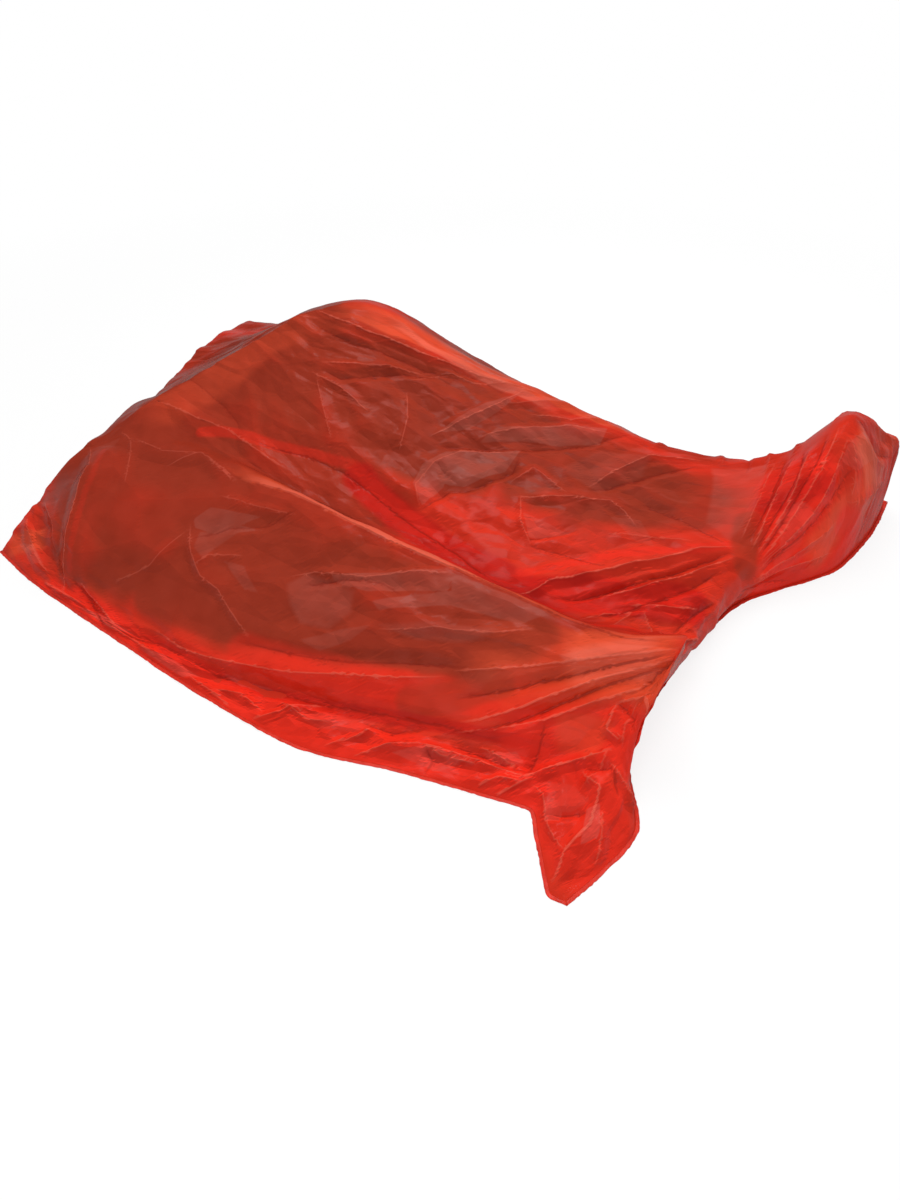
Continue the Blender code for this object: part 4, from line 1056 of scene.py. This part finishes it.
def add_flat_map(piece, along, across):
    """UV map in metres on the flat sheet, so that a pattern follows the film."""
    flat = np.stack(np.meshgrid(along, across, indexing="ij"), axis=-1).reshape(-1, 2)
    layer = piece.data.uv_layers.new(name="flat_sheet")
    layer.data.foreach_set("uv", flat[loop_corners(piece.data)].ravel())


def thicken(piece, thickness):
    """Gives a strip its thickness, half to each side."""
    wall = piece.modifiers.new("film", "SOLIDIFY")
    wall.thickness = thickness
    wall.offset = 0.0


def add_node(tree, kind, sockets=None, **settings):
    """Adds a node, sets its properties, and links each input named in sockets or sets it to a constant."""
    node = tree.nodes.new(kind)
    for name, value in settings.items():
        setattr(node, name, value)
    for name, value in (sockets or {}).items():
        if isinstance(value, bpy.types.NodeSocket):
            tree.links.new(value, node.inputs[name])
        else:
            node.inputs[name].default_value = value
    return node


def new_material(name):
    """Empty node material and its output node."""
    material = bpy.data.materials.new(name)
    material.use_nodes = True
    material.node_tree.nodes.clear()
    return material, add_node(material.node_tree, "ShaderNodeOutputMaterial")


def facet_bump(tree, flat, across_mm, along_mm, shift):
    """Height of small flat facets between sharp creases, worked out as in facet_height."""
    scale = (1000 / along_mm, 1000 / across_mm, 1.0)
    squares = []
    for offset in (shift, shift + 7.3):
        place = add_node(tree, "ShaderNodeMapping", {
            "Vector": flat, "Scale": scale, "Location": (offset, offset, 0),
        })
        cell = add_node(
            tree, "ShaderNodeTexVoronoi", {"Vector": place.outputs[0], "Scale": 1.0}, voronoi_dimensions="2D",
        )
        square = add_node(tree, "ShaderNodeMath", {0: cell.outputs["Distance"], 1: 2.0}, operation="POWER")
        squares.append(square.outputs[0])
    return add_node(tree, "ShaderNodeMath", {0: squares[0], 1: squares[1]}, operation="SUBTRACT").outputs[0]


def dressed_film(tree, colours, base):
    """The film's colour with the painted sheen of its milky facets and the painted lines along its creases, and
    the creases' height.

    A line is where the signed distance from the nearest crease is small, and the distance without its sign
    too. It is a painted highlight where the crease's lightness is above 0, and painted shade where it is below.
    """
    painted_sheen, crease = (
        add_node(tree, "ShaderNodeSeparateXYZ", {
            "Vector": add_node(tree, "ShaderNodeAttribute", attribute_name=name).outputs["Vector"],
        }).outputs
        for name in ("painted_sheen", "crease")
    )
    # Painted sheen on the milky facets
    depth = add_node(tree, "ShaderNodeMath", {0: painted_sheen[0], 1: 0.5}, operation="ADD", use_clamp=True)
    share = add_node(tree, "ShaderNodeMath", {0: depth.outputs[0], 1: painted_sheen[1]}, operation="MULTIPLY")
    colour = add_node(tree, "ShaderNodeMix", {
        0: share.outputs[0], 6: base, 7: (*colours.milky, 1),
    }, data_type="RGBA").outputs[2]
    side, away, light = crease
    apart = add_node(tree, "ShaderNodeMath", {0: side}, operation="ABSOLUTE").outputs[0]
    close = add_node(tree, "ShaderNodeMapRange", {
        "Value": away, "From Min": CREASE_GONE[0], "From Max": CREASE_GONE[1], "To Min": 1.0, "To Max": 0.0,
    })
    light = add_node(tree, "ShaderNodeMath", {0: light, 1: close.outputs[0]}, operation="MULTIPLY").outputs[0]
    # Painted highlights along raised creases and painted shade along sunken ones
    for name, amount, inner, outer in CREASE_LINES:
        line = add_node(tree, "ShaderNodeMapRange", {
            "Value": apart, "From Min": inner, "From Max": outer, "To Min": amount, "To Max": 0.0,
        })
        share = add_node(
            tree, "ShaderNodeMath", {0: line.outputs[0], 1: light}, operation="MULTIPLY", use_clamp=True,
        )
        colour = add_node(tree, "ShaderNodeMix", {
            0: share.outputs[0], 6: colour, 7: (*getattr(colours, name), 1),
        }, data_type="RGBA").outputs[2]
    slope = add_node(tree, "ShaderNodeMapRange", {
        "Value": apart, "From Min": 0.0, "From Max": CREASE_RIDGE, "To Min": 1.0, "To Max": 0.0,
    })
    ridge = add_node(tree, "ShaderNodeMath", {0: slope.outputs[0], 1: light}, operation="MULTIPLY")
    return colour, ridge.outputs[0]


def blown_film(name, colours, dressed=True):
    """Blown low-density polythene film, 0.1 mm: slippery, milky in the light and glowing against it.

    Its gloss and lightness change in patches about 45 mm across. Its smallest facets are 30 and 12 mm long,
    and the die's draw lines run along the sheet 5 mm apart, drawn coarser than the real ones so that they
    show.
    """
    material, output = new_material(name)
    tree = material.node_tree
    flat = add_node(tree, "ShaderNodeUVMap", uv_map="flat_sheet").outputs["UV"]
    if dressed:
        attribute = add_node(tree, "ShaderNodeAttribute", attribute_name="film_tint")
        base, ridge = dressed_film(tree, colours, attribute.outputs["Color"])
        crumpled = attribute.outputs["Alpha"]
        turn = add_node(tree, "ShaderNodeAttribute", attribute_name="painted_facet_light").outputs["Fac"]
    else:
        base, ridge, crumpled, turn = (*colours.film, 1), 0.0, 0.5, 0.0
    patches = add_node(tree, "ShaderNodeTexNoise", {"Vector": flat, "Scale": PATCHES_IN_METRE, "Detail": 4.0})
    lightness, roughness = (
        add_node(tree, "ShaderNodeMapRange", {
            "Value": patches.outputs["Fac"], "From Min": 0.3, "From Max": 0.7, "To Min": low, "To Max": high,
        }).outputs[0]
        for low, high in (FILM_LIGHTNESS, FILM_ROUGHNESS)
    )
    # Painted light and shade: each triangle is lighter or darker as it is turned towards or away from the bright
    # side
    lit = add_node(tree, "ShaderNodeMath", {0: turn, 1: FACET_LIGHT, 2: lightness}, operation="MULTIPLY_ADD")
    tinted = add_node(tree, "ShaderNodeHueSaturation", {"Color": base, "Value": lit.outputs[0]}).outputs[0]
    stretched = add_node(tree, "ShaderNodeMapping", {
        "Vector": flat, "Scale": (6.0, 1000 / DRAW_LINE_MM, 1.0),
    })
    draw_lines = add_node(tree, "ShaderNodeTexNoise", {
        "Vector": stretched.outputs[0], "Scale": 1.0, "Detail": 2.0,
    })
    waves = add_node(tree, "ShaderNodeTexNoise", {"Vector": flat, "Scale": WAVES_IN_METRE, "Detail": 2.0})
    shift = add_node(
        tree, "ShaderNodeVectorMath", {0: waves.outputs["Color"], 3: WAVE_REACH}, operation="SCALE",
    )
    bent = add_node(tree, "ShaderNodeVectorMath", {0: flat, 1: shift.outputs[0]}, operation="ADD").outputs[0]
    depth = add_node(tree, "ShaderNodeMapRange", {"Value": crumpled, "To Min": CALM_FACETS, "To Max": 1.0})
    bumps = [(draw_lines.outputs["Fac"], DRAW_LINE_BUMP), (ridge, CREASE_BUMP)]
    for across_mm, along_mm, place, distance in FINE_FACETS:
        facets = facet_bump(tree, bent, across_mm, along_mm, place)
        height = add_node(tree, "ShaderNodeMath", {0: facets, 1: depth.outputs[0]}, operation="MULTIPLY")
        bumps.append((height.outputs[0], distance))
    below = {}
    for height, distance in bumps:
        bump = add_node(tree, "ShaderNodeBump", {
            "Height": height, "Strength": 1.0, "Distance": distance, **below,
        })
        below = {"Normal": bump.outputs[0]}
    surface = add_node(tree, "ShaderNodeBsdfPrincipled", {
        "Base Color": tinted, "Roughness": roughness, "IOR": 1.51, "Specular IOR Level": 0.32, **below,
    })
    through = add_node(tree, "ShaderNodeBsdfTranslucent", {"Color": tinted, **below})
    mixed = add_node(tree, "ShaderNodeMixShader", {
        0: FILM_TRANSLUCENT, 1: surface.outputs[0], 2: through.outputs[0],
    })
    tree.links.new(mixed.outputs[0], output.inputs["Surface"])
    return material


def melted_seam(name, colour):
    """Polythene melted in the seam: more opaque than the film, with the cross ribs of the sealing bar.

    The ribs are 2 mm apart, because a wave has 20 radians to each unit of its scale.
    """
    material, output = new_material(name)
    tree = material.node_tree
    flat = add_node(tree, "ShaderNodeUVMap", uv_map="flat_sheet").outputs["UV"]
    ribs = add_node(tree, "ShaderNodeTexWave", {"Vector": flat, "Scale": 160.0, "Distortion": 1.5})
    patches = add_node(tree, "ShaderNodeTexNoise", {"Vector": flat, "Scale": 60.0, "Detail": 3.0})
    lightness = add_node(tree, "ShaderNodeMapRange", {
        "Value": patches.outputs["Fac"], "From Min": 0.3, "From Max": 0.7, "To Min": 0.85, "To Max": 1.15,
    })
    tinted = add_node(tree, "ShaderNodeHueSaturation", {
        "Color": (*colour, 1), "Value": lightness.outputs["Result"],
    })
    bump = add_node(tree, "ShaderNodeBump", {
        "Height": ribs.outputs["Fac"], "Strength": 0.25, "Distance": 0.0004,
    })
    surface = add_node(tree, "ShaderNodeBsdfPrincipled", {
        "Base Color": tinted.outputs[0], "Roughness": 0.26, "IOR": 1.51, "Normal": bump.outputs[0],
    })
    tree.links.new(surface.outputs[0], output.inputs["Surface"])
    return material


class BivvyUpperFilm(bpy.types.Operator):
    """Makes the creased upper film"""

    bl_idname = "bivvy.upper_film"
    bl_label = "Upper Film"

    def execute(self, context):
        sizes, colours = context.scene.bivvy_sizes, context.scene.bivvy_colours
        points, normals, crest, shades, along, across = creased_film(sizes, colours)
        film = grid_object("upper_film_sheet", points, blown_film("blown_film_upper", colours), crest=crest)
        add_flat_map(film, along, across)
        # Attributes that paint light and shade into the colour: the strokes' painted shade and light, each
        # triangle's painted light and shade, the creases' painted highlights and shade, and the milky facets'
        # painted sheen
        turns = painted_facet_lights(film.data, normals, shades["film_tint"][..., 3])
        for name, kind, domain, field, values in (
            ("film_tint", "FLOAT_COLOR", "POINT", "color", shades["film_tint"]),
            ("painted_facet_light", "FLOAT", "FACE", "value", turns),
            ("crease", "FLOAT_VECTOR", "POINT", "vector", shades["crease"]),
            ("painted_sheen", "FLOAT_VECTOR", "POINT", "vector", shades["painted_sheen"]),
        ):
            film.data.attributes.new(name, kind, domain).data.foreach_set(field, values.ravel())
        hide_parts("upper_film", "mouth_lip")
        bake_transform(film)
        return {"FINISHED"}


def sheet_outline(steps):
    """Near edge, foot edge and far edge of the sheets on the ground, each from its own start."""
    near = film_form(np.linspace(0, LAST_STATION, steps), [0.0])[:, 0]
    foot = film_form([LAST_STATION], np.linspace(0, LAST_LINE, steps))[0]
    far = film_form(np.linspace(0, LAST_STATION, steps), [LAST_LINE])[:, 0]
    return near, foot, far


def lower_sheet(near, foot, far, ripple):
    """Lower film between its four edges: a Coons patch, with ripples that die away at the edges.

    The patch is the sum of the two ruled surfaces between opposite edges, less the one between the corners.
    """
    share = np.linspace(0, 1, len(near))
    u, v = share[:, None, None], share[None, :, None]
    mouth = near[0] + share[:, None] * (far[0] - near[0])
    lengthways = near[:, None] * (1 - v) + far[:, None] * v
    crossways = mouth[None] * (1 - u) + foot[None] * u
    corners = (near[0] * (1 - v) + far[0] * v) * (1 - u) + (near[-1] * (1 - v) + far[-1] * v) * u
    points = lengthways + crossways - corners
    x, y = points[..., 0], points[..., 1]
    swell, crease = (
        smooth_noise(x / length + 9, y / width + 9, seed) for length, width, seed in LOWER_FILM_RIPPLES
    )
    height = 0.6 * (0.5 + 0.5 * swell) ** 2 + 0.4 * np.abs(crease)
    inside = np.minimum(np.minimum(share, 1 - share)[None, :], 1 - share[:, None])
    fade = np.clip(inside / LOWER_FILM_FADE, 0, 1)
    points[..., 2] = LOWER_FILM_MIDDLE + ripple * fade * height
    along = share * np.linalg.norm(np.diff(points[:, len(share) // 2], axis=0), axis=1).sum()
    across = share * np.linalg.norm(np.diff(points[len(share) // 2], axis=0), axis=1).sum()
    return points, along, across


class BivvyLowerFilm(bpy.types.Operator):
    """Makes the lower film on the ground, rippled where nothing presses it flat"""

    bl_idname = "bivvy.lower_film"
    bl_label = "Lower Film"

    def execute(self, context):
        sizes, colours = context.scene.bivvy_sizes, context.scene.bivvy_colours
        points, along, across = lower_sheet(*sheet_outline(LOWER_FILM_STEPS), sizes.ripple)
        film = grid_object("lower_film_sheet", points, blown_film("blown_film_lower", colours, dressed=False))
        add_flat_map(film, along, across)
        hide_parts("lower_film")
        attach(film, "bag")
        return {"FINISHED"}


def weld_strip(path, before, after, width, seed):
    """Seam beside a path on the ground: five points across, square to the path and mitred at its ends.

    Its outer edge is a little ragged and lifts by up to 2 mm in slow waves.
    """
    travel = np.gradient(path[:, :2], axis=0)
    travel /= np.linalg.norm(travel, axis=1, keepdims=True)
    outward = np.stack((travel[:, 1], -travel[:, 0]), axis=1)
    for end, other in ((0, before), (-1, after)):
        if other is not None:
            shared = outward[end] + other
            outward[end] = shared / (1 + outward[end] @ other)
    length = np.concatenate(([0], np.cumsum(np.linalg.norm(np.diff(path[:, :2], axis=0), axis=1))))
    across = np.linspace(0, 1, 5)
    layers = [(amount, wave, 1, seed + number) for number, (amount, wave) in enumerate(WELD_RAGGED)]
    ragged = 1 + layered_noise(length, 0 * length, layers)
    lift = WELD_LIFT * np.clip(smooth_noise(length / WELD_LIFT_WAVE, 0 * length, seed + 2), 0, 1)
    reach = width * ragged[:, None] * across[None]
    strip = np.empty((len(path), len(across), 3))
    strip[..., :2] = path[:, None, :2] + outward[:, None] * reach[..., None]
    strip[..., 2] = WELD_MIDDLE + lift[:, None] * across[None] ** 2
    return strip, length, across * width


def end_direction(path, end):
    """Unit vector to the right of a path at its start, 0, or its end, -1."""
    step = path[1, :2] - path[0, :2] if end == 0 else path[-1, :2] - path[-2, :2]
    step = step / np.linalg.norm(step)
    return np.array((step[1], -step[0]))


class BivvyWelds(bpy.types.Operator):
    """Makes the three welded seams round the near side, the foot end and the far side"""

    bl_idname = "bivvy.welds"
    bl_label = "Welded Seams"

    def execute(self, context):
        sizes, colours = context.scene.bivvy_sizes, context.scene.bivvy_colours
        material = melted_seam("melted_seam", tuple(colours.weld))
        near, foot, far = sheet_outline(WELD_STEPS)
        far = far[::-1]
        stretches = (
            ("near_side_weld", near, None, end_direction(foot, 0)),
            ("foot_weld", foot, end_direction(near, -1), end_direction(far, 0)),
            ("far_side_weld", far, end_direction(foot, -1), None),
        )
        for seed, (node, path, before, after) in enumerate(stretches):
            points, length, across = weld_strip(path, before, after, sizes.weld, 50 + 10 * seed)
            strip = grid_object(node + "_strip", points, material, flip=True)
            add_flat_map(strip, length, across)
            thicken(strip, sizes.seam)
            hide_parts(node)
            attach(strip, "bag")
        return {"FINISHED"}


def studio_floor(colour):
    """White seamless paper, which stays white to the camera and keeps a soft shadow."""
    material, output = new_material("studio_paper")
    tree = material.node_tree
    rays = add_node(tree, "ShaderNodeLightPath")
    paper = add_node(tree, "ShaderNodeBsdfDiffuse", {"Color": (*colour, 1)})
    glow = add_node(tree, "ShaderNodeEmission", {"Color": (1, 1, 1, 1), "Strength": 1.0})
    place = add_node(tree, "ShaderNodeTexCoord")
    away = add_node(tree, "ShaderNodeVectorMath", {0: place.outputs["Object"]}, operation="LENGTH")
    white = add_node(tree, "ShaderNodeMapRange", {
        "Value": away.outputs["Value"], "From Min": 1.1, "From Max": 3.0, "To Min": 0.8, "To Max": 1.0,
    })
    seen = add_node(
        tree, "ShaderNodeMath", {0: rays.outputs["Is Camera Ray"], 1: white.outputs[0]}, operation="MULTIPLY",
    )
    mixed = add_node(tree, "ShaderNodeMixShader", {
        0: seen.outputs[0], 1: paper.outputs[0], 2: glow.outputs[0],
    })
    dim = add_node(tree, "ShaderNodeEmission", {"Color": (1, 1, 1, 1), "Strength": FLOOR_LIGHT})
    shown = add_node(tree, "ShaderNodeMixShader", {
        0: rays.outputs["Is Glossy Ray"], 1: mixed.outputs[0], 2: dim.outputs[0],
    })
    tree.links.new(shown.outputs[0], output.inputs["Surface"])
    return material


def studio_world():
    """White background, white walls that fade to a dimmer ceiling in reflections, and an even fill light."""
    world = bpy.data.worlds.new("studio")
    world.use_nodes = True
    tree = world.node_tree
    tree.nodes.clear()
    rays = add_node(tree, "ShaderNodeLightPath")
    direction = add_node(tree, "ShaderNodeSeparateXYZ", {
        "Vector": add_node(tree, "ShaderNodeTexCoord").outputs["Generated"],
    })
    room = add_node(tree, "ShaderNodeMapRange", {
        "Value": direction.outputs["Z"], "From Min": 0.08, "From Max": 0.42,
        "To Min": WALL_LIGHT, "To Max": CEILING_LIGHT,
    })
    mirrored = add_node(tree, "ShaderNodeMath", {
        0: rays.outputs["Is Glossy Ray"], 1: rays.outputs["Is Transmission Ray"],
    }, operation="MAXIMUM")
    fill = add_node(tree, "ShaderNodeMix", {
        "Factor": mirrored.outputs[0], "A": FILL_LIGHT, "B": room.outputs[0],
    }, data_type="FLOAT")
    strength = add_node(tree, "ShaderNodeMix", {
        "Factor": rays.outputs["Is Camera Ray"], "A": fill.outputs["Result"], "B": 1.0,
    }, data_type="FLOAT")
    light = add_node(tree, "ShaderNodeBackground", {
        "Color": (1, 1, 1, 1), "Strength": strength.outputs["Result"],
    })
    output = add_node(tree, "ShaderNodeOutputWorld")
    tree.links.new(light.outputs[0], output.inputs["Surface"])
    return world


def add_softbox(name, place, size, power, mirrored):
    """Square area light aimed at the bag. Where it isn't mirrored, shiny surfaces don't show it."""
    light = bpy.data.lights.new(name, "AREA")
    light.size = size
    light.energy = power
    lamp = bpy.data.objects.new(name, light)
    lamp.location = place
    lamp.rotation_euler = (LIGHT_TARGET - Vector(place)).to_track_quat("-Z", "Y").to_euler()
    lamp.visible_glossy = mirrored
    bpy.context.scene.collection.objects.link(lamp)


class BivvyStage(bpy.types.Operator):
    """Makes the studio floor, the soft lights and the camera of the photograph"""

    bl_idname = "bivvy.stage"
    bl_label = "Studio"

    def execute(self, context):
        scene = context.scene
        span = np.linspace(-FLOOR_REACH, FLOOR_REACH, 31)
        x, y = np.meshgrid(span, span, indexing="ij")
        floor = grid_object(
            "studio_floor", np.stack((x, y, np.full_like(x, -FLOOR_BELOW)), axis=-1),
            studio_floor(tuple(scene.bivvy_colours.floor)),
        )
        scene.world = studio_world()
        for softbox in SOFTBOXES:
            add_softbox(*softbox)
        camera = bpy.data.cameras.new("photo_camera")
        camera.sensor_fit = "VERTICAL"
        camera.sensor_height = CAMERA_SENSOR_MM
        camera.lens = CAMERA_LENS_MM
        eye = bpy.data.objects.new("photo_camera", camera)
        eye.location = CAMERA_PLACE
        eye.rotation_euler = (math.radians(90 - CAMERA_DOWN_DEGREES), 0, math.radians(CAMERA_ROUND_DEGREES))
        scene.collection.objects.link(eye)
        scene.camera = eye
        scene.view_settings.view_transform = "Standard"
        return {"FINISHED"}


class BivvyPanel(bpy.types.Panel):
    """Lists the pieces of the bag, their sizes and their colours"""

    bl_idname = "BIVVY_PT_bag"
    bl_label = "Double Bivvy Bag"
    bl_space_type = "VIEW_3D"
    bl_region_type = "UI"
    bl_category = "Bivvy Bag"

    def draw(self, context):
        for operator in OPERATORS:
            self.layout.operator(operator.bl_idname)
        for group in (context.scene.bivvy_sizes, context.scene.bivvy_colours):
            box = self.layout.box()
            for name in group.__annotations__:
                box.prop(group, name)


OPERATORS = (BivvyLowerFilm, BivvyUpperFilm, BivvyWelds, BivvyStage)
CLASSES = (BivvySizes, BivvyColours, *OPERATORS, BivvyPanel)


def register():
    for kind in CLASSES:
        bpy.utils.register_class(kind)
    bpy.types.Scene.bivvy_sizes = PointerProperty(type=BivvySizes)
    bpy.types.Scene.bivvy_colours = PointerProperty(type=BivvyColours)


def unregister():
    del bpy.types.Scene.bivvy_colours
    del bpy.types.Scene.bivvy_sizes
    for kind in reversed(CLASSES):
        bpy.utils.unregister_class(kind)


def main():
    register()
    bpy.ops.bivvy.lower_film()
    bpy.ops.bivvy.upper_film()
    bpy.ops.bivvy.welds()
    bpy.ops.bivvy.stage()
    bpy.context.view_layer.update()


if __name__ == "__main__":
    main()
